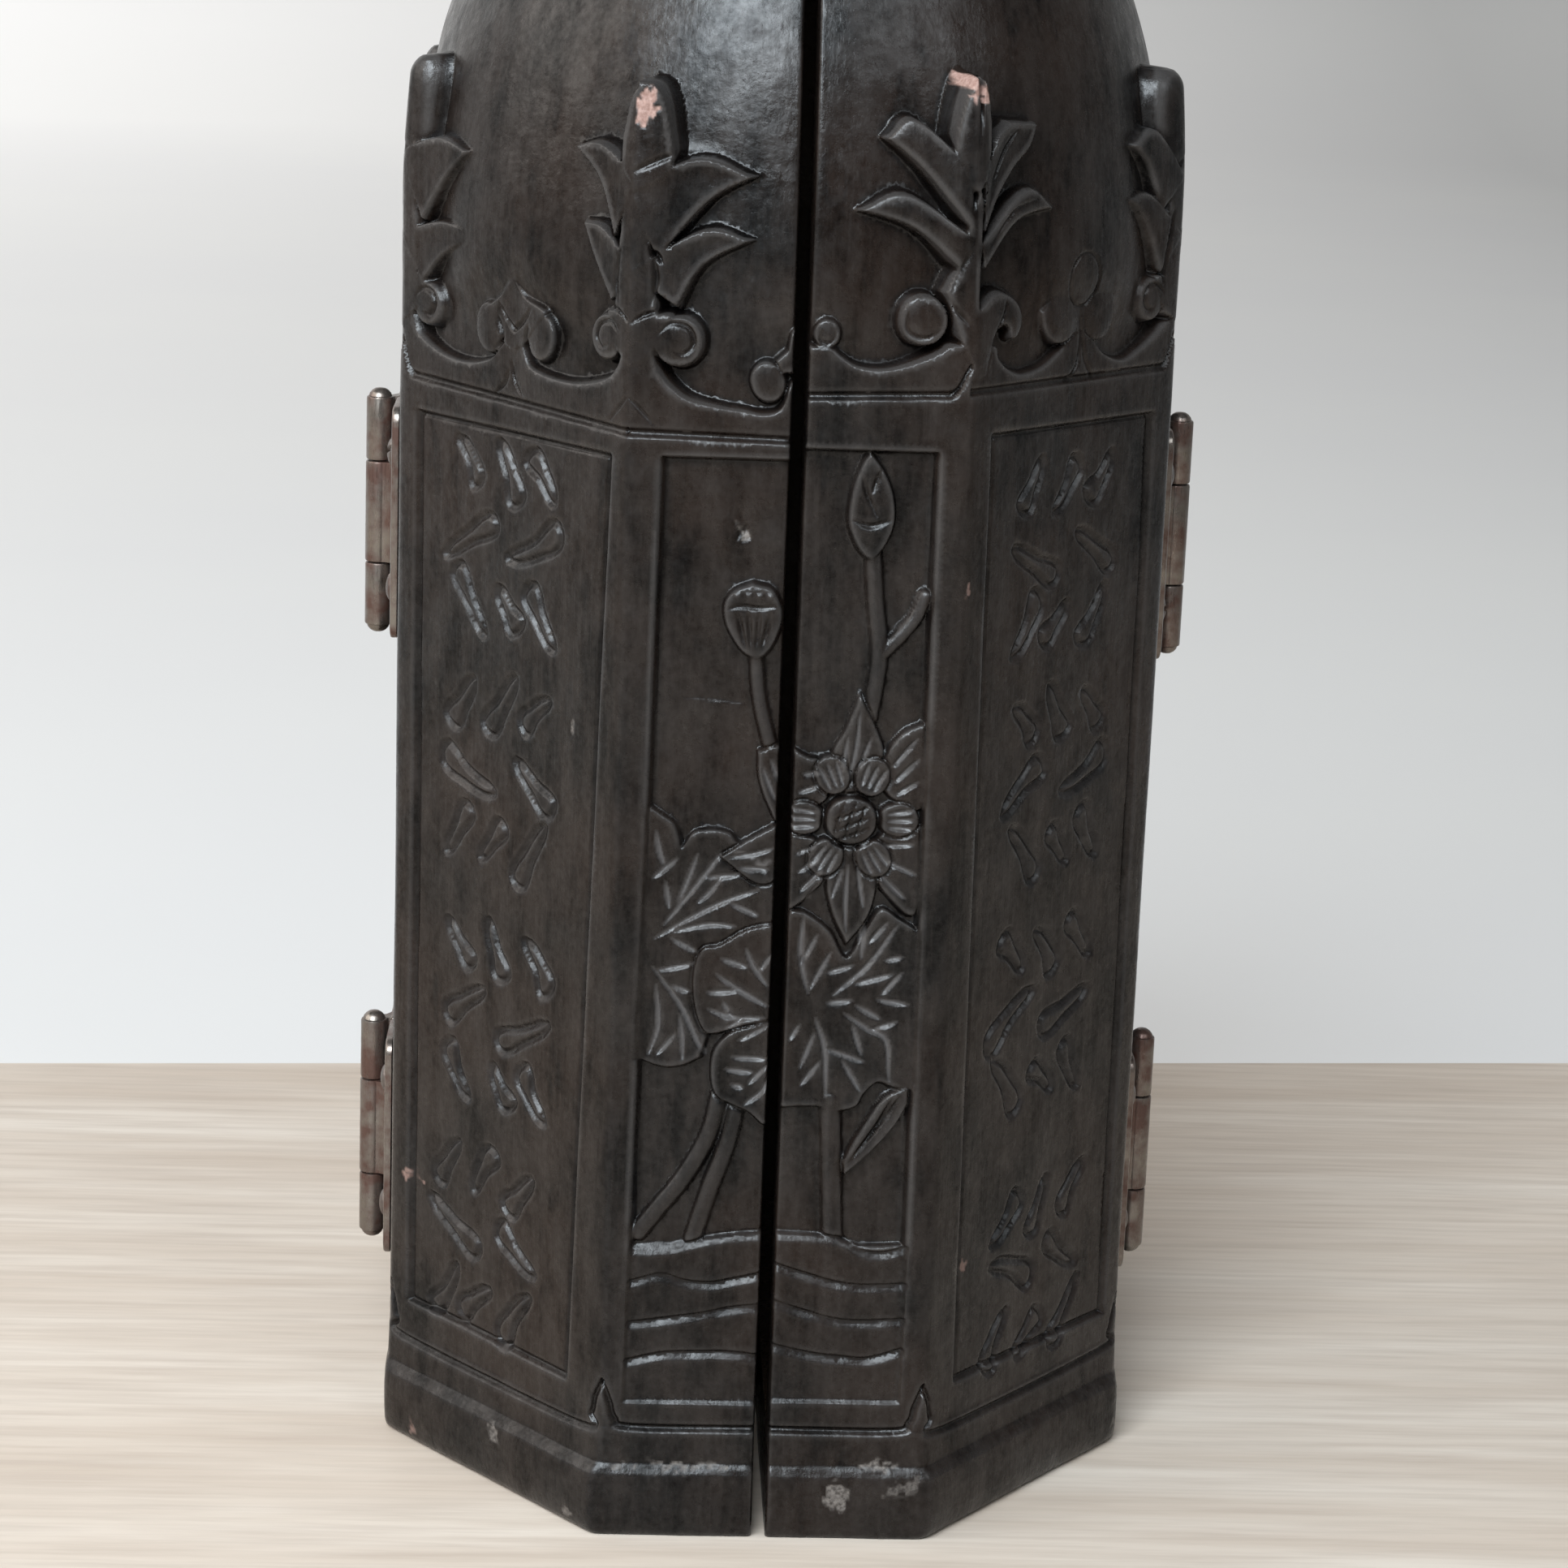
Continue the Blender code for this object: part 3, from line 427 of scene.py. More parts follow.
def left_frieze(relief):
    """The frieze of the left door, drawn from the photographed face."""
    front, diagonal, flank = relief.sides.values()
    edge, width = front.width, diagonal.width
    # Bud and leaves on the front edge
    front.lift(curve([(edge + 1, 204.4), (20.8, 204.0), (19.0, 202.0), (17.9, 198.0), (17.4, 194.5),
        (18.6, 191.5), (edge + 1, 189.0)]), 0.0, 0.7)
    diagonal.lift(curve([(-1, 204.4), (1.2, 202.4), (2.2, 199.0), (2.8, 195.6), (2.2, 192.5),
        (-1, 189.0)]), 0.0, 0.7)
    front.cut([(edge, 181.2), (19.6, 183.6), (16.6, 185.2)], 0.6, 0.5)
    diagonal.cut([(0.2, 182.2), (3.0, 184.6), (5.0, 186.0)], 0.5, 0.4)
    front.cut([(edge, 192.4), (19.6, 194.0), (17.0, 195.0)], 0.6, 0.5)
    frieze_leaf(front, "left", (edge + 1, 190.7), (14.4, 194.6), (6.6, 192.2), (12.9, 188.6),
        (19.6, 180.5))
    frieze_leaf(front, "left", (edge + 1, 179.4), (13.6, 185.3), (6.6, 184.0), (13.2, 180.4),
        (16.6, 174.6))
    frieze_leaf(diagonal, "left", (-1, 191.9), (6.6, 195.8), (12.4, 194.9), (6.8, 190.6),
        (3.4, 183.0))
    frieze_leaf(diagonal, "left", (-1, 180.1), (5.6, 184.9), (10.1, 185.3), (7.5, 180.4),
        (3.7, 174.8))
    front.lift([(18.6, 170), (19.2, 176), (20.4, 184), (edge + 1, 196), (edge + 1, 168)], -0.1, 0.7)
    diagonal.lift([(3.6, 170), (3.2, 177), (2.4, 186), (-1, 196), (-1, 168)], -0.1, 0.7)
    front.cut([(20.2, 182.6), (19.5, 178.5), (20.1, 174.8)], 0.5, 0.6)
    front.cut([(19.8, 182.2), (18.9, 180.8)], 0.55, 1.0, taper=0.3)
    diagonal.cut([(1.9, 182.6), (2.6, 178.5), (2.2, 174.8)], 0.4, 0.4)
    front.cut([(edge, 172.4), (20.6, 173.9), (18.0, 174.6)], 0.5, 0.6)
    diagonal.cut([(0, 172.6), (2.4, 174.2), (4.6, 174.7)], 0.5, 0.6)
    # Front face: volute, swag and the oval by the gap
    volute(front, (16.4, 170.4), 3.6, [(edge + 1, 172.3), (20.3, 174.0), (17.0, 173.9),
        (18.4, 170.6), (20.0, 168.0), (edge + 1, 167.0)])
    apron(front, 158.0, [(edge + 1, 170.5), (19.7, 170.3), (18.9, 167.4), (17.6, 165.2),
        (14.9, 163.2), (11.1, 162.3), (7.4, 161.8), (4.6, 161.4), (2.6, 162.2), (1.6, 165.0),
        (0.4, 166.0)])
    front.lift(ring((4.3, 165.4), (2.5, 2.9), -20), -0.3, 0.6, crown=0.15)
    front.lift([(0, 174.0), (1.5, 172.0), (1.9, 169.8), (3.6, 168.2), (2.5, 166.5), (0, 166.5)],
        APRON_LEVEL, 0.6)
    front.cut([(edge, 163.0), (21.4, 161.6), (19.0, 159.0)], 0.35, 0.35)
    # Diagonal face
    volute(diagonal, (4.6, 170.3), 3.3, [(-1, 172.4), (2.2, 174.2), (4.6, 174.0), (3.6, 170.6),
        (1.8, 168.0), (-1, 167.0)])
    apron(diagonal, 159.0, [(-1, 170.5), (1.6, 170.0), (2.3, 167.4), (4.1, 165.4), (7.7, 164.2),
        (12.1, 163.6), (17.2, 163.9), (20.6, 164.9), (22.0, 167.5), (24.2, 168.6), (26.3, 167.6),
        (28.2, 165.4), (30.2, 164.4), (33.6, 163.7), (38.2, 163.9), (42.2, 165.0), (45.2, 166.6),
        (46.6, 169.4), (width + 1, 170.2)])
    diagonal.lift(ring((29.4, 168.7), (3.0, 3.7), -12), -0.2, 0.6, crown=0.15)
    diagonal.lift(ring((18.2, 168.6), (2.9, 3.4), 10), -0.2, 0.6, crown=0.15)
    diagonal.lift(loop([(30.6, 171.4), (27.2, 173.4), (24.3, 175.8), (21.4, 173.8), (17.2, 172.2),
        (19.5, 169.2), (24.0, 166.0), (28.6, 169.0)]), -0.05, 0.6, crown=-0.1)
    diagonal.cut([(27.2, 172.6), (23.9, 169.0), (20.3, 172.2)], 0.5, 0.55, steps=2)
    diagonal.cut([(27.4, 170.6), (26.4, 167.6), (28.2, 165.9)], 0.5, 0.7)
    diagonal.cut([(20.8, 170.0), (21.6, 167.0), (19.9, 165.3)], 0.5, 0.7)
    diagonal.cut([(24.3, 164.8), (23.7, 162.2), (22.0, 160.0)], 0.4, 0.45)
    diagonal.cut([(24.7, 163.6), (25.9, 161.4), (27.9, 159.9)], 0.4, 0.45)
    diagonal.cut([(0, 163.0), (1.5, 161.5), (3.6, 159.2)], 0.35, 0.35)
    volute(diagonal, (43.4, 170.4), 3.2, [(width + 1, 172.6), (47.6, 173.9), (44.6, 174.9),
        (43.4, 172.0), (45.4, 169.5), (47.4, 168.0), (width + 1, 167.5)])
    # Bud and leaves on the side edge
    bud(diagonal, width, -1.0, 204.6, 3.9)
    frieze_leaf(diagonal, "left", (width + 1, 191.4), (41.6, 193.8), (34.6, 192.2), (39.6, 187.8),
        (44.6, 181.5))
    frieze_leaf(diagonal, "left", (width + 1, 180.0), (40.4, 182.3), (32.3, 180.8), (39.4, 177.6),
        (44.4, 173.2))
    diagonal.lift([(45.4, 170), (45.2, 178), (46.0, 188), (width + 1, 194), (width + 1, 168)], -0.1,
        0.7)
    flank_sprig(flank, 159.5, 204.6, 3.9)


def right_frieze(relief):
    """The frieze of the right door, drawn from the photographed face."""
    front, diagonal, flank = relief.sides.values()
    edge, width = front.width, diagonal.width
    # Bud and leaves on the front edge
    front.lift(curve([(edge, 206.6), (21.2, 205.2), (19.6, 201.0), (18.9, 196.0), (20.0, 192.0),
        (edge + 1, 190.0)]), 0.0, 0.9, rounding=1.2)
    diagonal.lift(curve([(0, 206.6), (1.4, 205.0), (2.2, 201.0), (2.3, 196.5), (1.0, 192.0),
        (-1, 190.0)]), 0.0, 0.9)
    frieze_leaf(front, "right", (edge - 1, 194.6), (14.0, 200.6), (9.9, 197.7), (15.2, 193.4),
        (edge, 184.6))
    frieze_leaf(front, "right", (edge - 0.6, 185.6), (13.0, 191.0), (6.4, 188.3), (14.2, 185.9),
        (20.6, 180.6))
    diagonal.lift(np.vstack([curve([(0.4, 193.5), (3.2, 198.2), (6.2, 200.3)]),
        curve([(12.8, 199.9), (11.0, 196.6), (7.4, 194.0), (3.9, 190.2), (1.0, 185.0)])]), -0.1,
        0.6, crown=-0.3)
    diagonal.cut([(8.6, 199.4), (5.2, 196.4), (2.2, 191.8)], 0.45, 0.5)
    frieze_leaf(diagonal, "right", (0.2, 184.6), (10.2, 191.4), (17.4, 188.3), (8.4, 186.7),
        (1.2, 180.4))
    diagonal.cut([(13.0, 189.8), (7.6, 188.4), (2.4, 184.2)], 0.4, 0.4)
    front.lift([(18.5, 178.0), (20.0, 181.0), (21.4, 188.0), (edge + 1, 196.0), (edge + 1, 166.0),
        (20.6, 172.0)], -0.1, 0.8)
    diagonal.lift([(1.4, 170), (0.9, 180), (1.0, 190), (-1, 196), (-1, 166)], -0.1, 0.7)
    front.cut([(22.0, 183.6), (20.4, 180.4), (19.6, 178.0)], 0.5, 0.45)
    front.cut([(18.9, 177.6), (20.6, 175.4), (22.2, 173.8)], 0.5, 0.5)
    # Front face: volute, swag and the small spiral by the gap
    front.lift(ring((16.1, 174.2), (3.5, 3.6)), -0.2, 0.7, crown=0.3)
    front.cut([(14.0, 176.0), (13.9, 172.9), (16.2, 171.9), (18.3, 173.0)], 0.4, 0.45)
    apron(front, 163.0, [(edge + 1, 171.6), (20.2, 171.4), (18.4, 170.4), (16.4, 169.4),
        (13.0, 168.2), (10.2, 167.8), (7.4, 168.2), (5.4, 169.4), (4.0, 170.4), (0.4, 170.6)])
    front.lift(ring((3.3, 172.0), (1.9, 2.1)), -0.4, 0.6, crown=0.2)
    front.cut([(4.6, 172.8), (3.9, 170.9), (2.4, 171.2), (2.6, 172.6)], 0.35, 0.4)
    front.cut([(20.0, 164.2), (21.6, 165.6), (edge, 168.2)], 0.4, 0.35)
    # Diagonal face
    hook = curve([(-1, 174.6), (1.4, 176.4), (4.6, 178.0), (7.2, 177.6), (9.8, 176.1),
        (11.0, 173.6), (9.8, 171.4), (8.2, 171.2), (7.6, 172.6), (6.4, 173.0), (5.0, 171.6),
        (3.4, 167.0), (-1, 166.0)])
    diagonal.lift(hook, -0.15, 0.7, crown=0.2)
    diagonal.cut([(7.0, 177.2), (6.2, 174.4), (4.2, 171.0), (2.9, 167.2)], 0.4, 0.5)
    apron(diagonal, 164.0, [(-1, 170.6), (4.9, 171.0), (6.0, 169.2), (8.2, 167.6), (11.5, 166.6),
        (15.8, 167.1), (19.0, 168.4), (21.5, 170.0), (24.8, 171.5), (28.2, 170.0), (31.2, 167.8),
        (35.8, 166.6), (40.2, 167.8), (44.1, 169.6), (46.5, 171.2), (width + 1, 172.0)])
    diagonal.lift(loop([(15.2, 174.5), (18.2, 176.2), (21.8, 175.9), (24.2, 173.0), (22.4, 170.2),
        (18.8, 169.8), (16.2, 171.6)]), -0.15, 0.6, crown=0.25)
    diagonal.lift(ring((24.5, 178.3), (3.2, 3.6)), -0.15, 0.6, crown=0.25)
    diagonal.lift(ring((29.2, 173.3), (3.7, 3.9)), -0.15, 0.6, crown=0.25)
    diagonal.lift([(22.5, 176), (26.6, 176), (26.2, 166), (23.4, 166)], -0.3, 0.6)
    diagonal.outline_cut(ring((24.5, 178.3), (3.3, 3.7)), 0.35, 0.3)
    diagonal.cut([(24.4, 174.6), (24.9, 170.4), (24.2, 166.4), (21.4, 164.4)], 0.4, 0.5)
    diagonal.cut([(25.2, 171.5), (26.3, 167.2), (29.0, 164.0)], 0.4, 0.5)
    volute(diagonal, (42.4, 174.3), 3.2, [(width + 1, 176.0), (46.4, 177.4), (43.2, 177.6),
        (44.0, 174.4), (45.6, 172.0), (width + 1, 171.0)])
    # Bud and leaves on the side edge
    bud(diagonal, width, -1.0, 206.2, 5.2)
    frieze_leaf(diagonal, "right", (width + 1, 191.0), (42.0, 198.1), (35.9, 196.0), (40.2, 192.2),
        (43.4, 186.0))
    frieze_leaf(diagonal, "right", (width + 1, 183.0), (40.8, 189.3), (34.2, 188.8), (39.6, 184.6),
        (44.2, 177.5))
    diagonal.lift([(45.2, 172), (44.4, 180), (45.6, 190), (width + 1, 196), (width + 1, 170)], -0.1,
        0.7)
    diagonal.cut([(46.5, 186.5), (45.2, 181.0), (44.6, 176.5)], 0.6, 0.7)
    flank_sprig(flank, 163.9, 206.2, 5.2)


def sprig(side, edge, inward, base, top, half):
    """The plainer sprig of the hidden faces: half a bud, two leaves and a volute by an edge."""
    def place(points):
        return [(edge + inward * out, base + up) for out, up in points]
    bud(side, edge, inward, top, half)
    frieze_leaf(side, "plain", *place([(-1, 30.5), (7, 34), (14.5, 32.2), (9, 28), (2, 20)]))
    frieze_leaf(side, "plain", *place([(-1, 19.6), (7, 23.5), (14.0, 22.4), (8.6, 18.5), (3, 12)]))
    side.lift(place([(-1, 6), (3.2, 8), (3.2, 18), (1.2, 34), (-1, 34)]), -0.1, 0.7)
    volute(side, place([(6.0, 10.4)])[0], 3.2, place([(-1, 12.6), (2.6, 14.0), (5.6, 13.9),
        (4.2, 10.6), (2.6, 8), (-1, 7)]))


def hidden_apron(side, base, start, end):
    """Swags and a trefoil between two edges of a hidden face."""
    middle = (start + end) / 2
    points = [(start - 1, 10.5), (start + 2, 10.2), (start + 4, 6.6), ((start + middle) / 2, 4.6),
        (middle - 4.5, 5.4), (middle - 2, 8.4), (middle, 9.2), (middle + 2, 8.4),
        (middle + 4.5, 5.4), ((end + middle) / 2, 4.6), (end - 4, 6.6), (end - 2, 10.2),
        (end + 1, 10.5)]
    apron(side, base, [(along, base + up) for along, up in points])
    for offset, up in ((-5.0, 9.6), (5.0, 9.6), (0.0, 13.4)):
        side.lift(ring((middle + offset, base + up), (2.9, 3.4)), -0.2, 0.6, crown=0.2)
    side.cut([(middle, base + 9), (middle - 0.6, base + 4.4), (middle - 2.6, base + 1.4)], 0.4,
        0.45)
    side.cut([(middle, base + 9), (middle + 0.6, base + 4.4), (middle + 2.6, base + 1.4)], 0.4,
        0.45)


def flank_sprig(side, base, top, half):
    """Half a sprig on the side face, which runs on across the split."""
    sprig(side, 0.0, 1.0, base, top, half)
    apron(side, base, [(-1, base + 10.5), (2, base + 10), (4.5, base + 6.4), (9, base + 4.6),
        (side.width, base + 5.2)])


# Motifs of the front panels

VEIN = (0.55, 0.60)             # half width and depth of a leaf vein
STEM_LEVEL = -0.35
WAVE_DEPTH = 0.75


def stem(front, points, half):
    """A round stalk along a smooth line, on the floor of a front panel."""
    line = curve(points)
    spots, along, height = front.near(line, half + 0.4)
    gap, _ = distance_to(along, height, line)
    swell = np.sqrt(np.clip(1.0 - (gap / (half + 0.15)) ** 2, 0.0, 1.0))
    floor = front.relief.block[spots] - FRONT_SINK
    front.raise_to(spots, floor + (FRONT_SINK + STEM_LEVEL) * swell)


def broad_leaf(front, outline, level, veins):
    front.outline_cut(outline, 0.5, 0.3)
    front.lift(outline, level, 0.5, crown=-0.2)
    for vein in veins:
        front.cut(vein, *VEIN, taper=0.4, bare=0.8)


def wave(front, points):
    """A ripple: a sharp lip, and below it a long slope that catches the light."""
    line = curve(points)
    order = np.argsort(line[:, 0])
    spots, along, height = front.near(line, 2.0)
    above = height - np.interp(along, line[order, 0], line[order, 1])
    within = (along > line[:, 0].min() - 0.4) & (along < line[:, 0].max() + 0.4)
    profile = np.where(above > 0, 1.0 - above / 0.35, 1.0 + above / 1.15)
    uneven = 0.75 + 0.35 * lattice_noise(along / 2.6, height / 3.0, 4)
    cut = np.clip(profile, 0.0, 1.0) * within * uneven
    front.lower(spots, WAVE_DEPTH * cut)
    # Painted highlight: the cut, most of all its long slope, is painted a little lighter.
    front.paint("scrape_and_highlight", spots, 0.1 * cut)


def water(front, outline, lines):
    """The water at the foot of a front panel, with its ripples."""
    front.lift(outline, -0.45, 0.6)
    for points in lines:
        wave(front, points)


def petal(front, outline, strokes, level=-0.35):
    front.outline_cut(outline, 0.45, 0.35)
    front.lift(outline, level, 0.5, crown=-0.1)
    for stroke in strokes:
        front.cut(stroke, 0.45, 0.60, taper=0.4, bare=0.8)


def left_relief(front):
    """Seed pod, three lotus leaves and water on the left door."""
    stem(front, [(4.7, 129.0), (4.1, 123.0), (2.9, 118.0), (1.6, 113.5)], 0.95)
    pod = loop([(5.4, 138.4), (8.0, 137.3), (9.3, 135.3), (8.9, 132.3), (7.0, 129.2),
                (5.2, 128.0), (3.4, 128.3), (1.8, 130.8), (1.1, 134.2), (2.5, 137.5)])
    front.lift(pod, -0.1, 0.7, crown=0.1)
    front.cut([(8.7, 134.8), (6.6, 135.2), (4.4, 135.0), (1.6, 135.4)], 0.5, 0.5)
    for along in (7.3, 5.8, 4.3, 2.8):
        front.cut([(along, 134.4), ((along + 4.9) / 2, 129.6)], 0.5, 0.5)
        front.lift(ring((along, 136.6), (0.6, 0.55)), 0.15, 0.4)
    big = np.vstack([curve([(18.6, 107.2), (16.8, 106.0), (15.0, 104.6), (13.9, 101.6)]),
                     curve([(13.7, 101.9), (12.4, 103.6), (9.8, 104.1), (7.4, 103.6), (6.2, 102.4),
                            (4.4, 102.9), (2.4, 104.3), (0.4, 105.8)]),
                     curve([(0.4, 86.0), (6.0, 84.0), (9.0, 76.0), (10.4, 71.6)]),
                     curve([(10.2, 71.4), (13.0, 70.0), (16.0, 69.8), (19.6, 71.0)])])
    broad_leaf(front, big, -0.55, [
        [(17.4, 88.4), (12.2, 91.6), (7.5, 94.0), (3.2, 95.6)],
        [(14.9, 89.4), (10.0, 90.5), (6.3, 90.3)],
        [(16.2, 90.4), (12.8, 94.8), (9.6, 99.2), (8.6, 100.8)],
        [(14.4, 93.4), (13.0, 97.0), (11.8, 100.4)], [(16.1, 96.4), (15.5, 92.8)],
        [(10.4, 97.2), (6.0, 97.6)], [(11.6, 93.6), (9.9, 95.2), (8.4, 97.2)],
        [(15.1, 88.4), (11.6, 86.6)], [(16.9, 83.8), (12.0, 84.8)],
        [(17.5, 84.2), (13.6, 79.0), (11.4, 74.6), (9.9, 71.8)], [(14.8, 81.6), (12.4, 80.8)],
        [(17.0, 81.6), (16.6, 76.0), (17.8, 71.8)], [(13.6, 77.4), (13.2, 74.2), (13.0, 71.2)],
        [(16.6, 71.8), (14.2, 74.6)], [(7.0, 93.6), (3.2, 92.0)],
        [(17.6, 103.6), (17.0, 100.6), (16.2, 98.6)], [(17.8, 97.0), (14.6, 99.8)],
        [(6.6, 101.0), (3.6, 100.2)], [(4.6, 98.4), (1.6, 99.8)]])
    second = curve([(0.4, 91.0), (4.6, 90.0), (8.2, 87.8), (10.8, 87.0), (12.0, 83.4),
                    (11.6, 78.6), (10.2, 75.2), (8.4, 74.8), (4.0, 76.0), (0.4, 76.4)])
    broad_leaf(front, second, -0.35, [
        [(8.0, 85.7), (4.4, 84.6)], [(8.6, 83.4), (5.4, 81.3), (1.2, 79.0)],
        [(9.8, 80.8), (5.6, 81.1)], [(9.6, 78.4), (6.0, 77.3), (1.8, 77.3)],
        [(7.4, 75.4), (4.6, 77.1)], [(4.6, 87.2), (3.4, 84.6), (1.4, 82.0)],
        [(1.2, 86.4), (2.6, 84.0)], [(7.6, 79.6), (6.4, 77.4)]])
    stem(front, [(7.6, 66.0), (9.0, 60.0), (12.4, 53.6), (16.0, 48.8), (18.6, 45.4)], 1.25)
    stem(front, [(5.2, 64.6), (6.4, 58.6), (8.8, 51.4), (10.8, 44.6)], 1.25)
    third = curve([(0.4, 77.0), (3.4, 76.2), (6.4, 75.2), (8.7, 72.4), (9.0, 68.4), (8.1, 65.8),
                   (6.0, 64.6), (3.4, 63.4), (1.6, 61.8), (0.4, 61.6)])
    broad_leaf(front, third, -0.25, [
        [(5.2, 74.0), (1.0, 76.4)], [(6.0, 71.6), (1.2, 71.4)], [(6.9, 69.8), (3.0, 69.4)],
        [(6.0, 67.6), (4.4, 67.2)], [(3.6, 67.8), (1.0, 70.6)],
        [(4.1, 64.8), (1.8, 66.6), (1.0, 68.6)]])
    petal(front, loop([(4.0, 115.2), (3.8, 111.6), (2.5, 107.8), (0.4, 105.0), (0.4, 115.4)]),
          [[(3.2, 113.0), (1.4, 108.6)], [(2.0, 114.0), (1.0, 111.0)]])
    petal(front, loop([(8.8, 100.2), (5.2, 102.6), (1.6, 104.6), (0.2, 104.8), (0.2, 98.0),
                       (3.4, 96.4)]),
          [[(7.4, 100.2), (4.0, 100.8), (1.4, 101.6)], [(6.0, 98.8), (2.0, 98.6)]], -0.3)
    water(front, [(0, 45.8), (4.5, 45.5), (9.0, 44.8), (14.0, 43.6), (21.0, 43.2), (21.0, 20.0),
                  (0, 19.6)],
          [[(19.2, 43.1), (14.0, 43.4), (9.0, 44.7), (4.5, 45.4), (0.8, 45.7)],
           [(19.2, 38.2), (15.0, 39.3), (11.5, 38.3), (8.0, 38.1), (4.0, 38.9), (0.8, 39.7)],
           [(19.2, 32.0), (14.0, 32.7), (9.0, 33.5), (5.0, 34.4), (0.8, 35.0)],
           [(19.4, 26.3), (14.5, 27.4), (10.0, 27.6), (5.0, 27.7), (0.8, 27.3)]])
    front.cut([(7.9, 143.9), (7.2, 145.2), (6.2, 145.9)], 0.55, 0.5)
    front.mark("dust", (7.1, 145.0), (1.0, 0.3), 50, sunk=0.3)
    front.cut([(14.8, 122.3), (10.0, 122.1), (5.6, 121.6)], 0.3, 0.25)


def blossom(front, centre):
    """An open blossom: pointed outer petals, a ring of round ones and a scored disc."""
    outer_petals = (
        ([(9.8, 123.5), (7.9, 118.6), (6.1, 114.6), (7.4, 109.5), (12.6, 109.5), (13.5, 115.0),
          (12.0, 119.4)],
         [[(9.9, 121.2), (9.5, 115.8), (8.7, 111.6)], [(8.3, 117.6), (7.8, 112.8)],
          [(11.5, 117.4), (10.1, 113.0)]]),
        ([(18.9, 119.8), (15.6, 118.0), (13.4, 114.4), (13.6, 110.0), (18.9, 107.6)],
         [[(14.6, 113.4), (17.8, 117.4)], [(15.0, 111.4), (18.2, 114.6)],
          [(15.2, 109.6), (18.2, 111.4)]]),
        ([(0.4, 116.0), (3.0, 114.6), (6.2, 113.8), (5.6, 108.4), (0.4, 107.4)],
         [[(5.0, 112.4), (2.4, 112.2)], [(4.6, 110.6), (1.8, 109.6)]]),
        ([(0.4, 104.0), (4.6, 103.0), (7.0, 99.4), (4.6, 95.6), (1.4, 92.9), (0.4, 93.0)],
         [[(5.4, 100.4), (2.2, 98.4)], [(5.6, 98.8), (2.6, 95.8)], [(4.4, 102.0), (1.8, 101.0)],
          [(5.2, 96.9), (3.2, 94.3)]]),
        ([(18.9, 106.0), (13.4, 104.0), (12.0, 99.6), (14.4, 95.4), (18.9, 92.8)],
         [[(13.4, 100.6), (18.4, 98.4)], [(13.6, 98.2), (17.0, 95.0)],
          [(14.0, 102.4), (17.8, 102.6)]]),
        ([(9.3, 88.0), (6.9, 93.0), (6.0, 98.4), (7.6, 102.0), (11.6, 102.0), (13.2, 98.0),
          (12.3, 92.4)],
         [[(9.0, 99.4), (8.9, 94.4), (9.1, 90.2)], [(8.3, 98.8), (6.9, 94.8)],
          [(10.4, 99.4), (11.3, 93.8)]]))
    for outline, strokes in outer_petals:
        petal(front, loop(outline), strokes)
    for turn, reach in ((66, 6.7), (114, 6.9), (2, 6.6), (178, 6.6), (238, 6.2), (302, 6.2)):
        cos, sin = math.cos(math.radians(turn)), math.sin(math.radians(turn))
        middle = (centre[0] + reach * cos, centre[1] + reach * sin)
        strokes = [[(centre[0] + a * cos - b * sin, centre[1] + a * sin + b * cos)
                    for a, b in ((reach - 1.6, spread * 0.7), (reach + 1.9, spread))]
                   for spread in (-1.3, 0.0, 1.3)]
        petal(front, ring(middle, (2.9, 2.5), turn), strokes, -0.2)
    front.outline_cut(ring(centre, (3.9, 3.7)), 0.6, 0.6)
    front.lift(ring(centre, (3.7, 3.5)), -0.15, 0.7, crown=0.35)
    for offset in (-1.5, 0.0, 1.5):
        front.cut([(centre[0] - 2.4, centre[1] - 1.4 + offset),
                   (centre[0] + 2.4, centre[1] + 0.6 + offset)], 0.3, 0.35, taper=0.3)
        front.cut([(centre[0] - 1.0 + offset, centre[1] - 2.4),
                   (centre[0] + 0.4 + offset, centre[1] + 2.4)], 0.3, 0.35, taper=0.3)


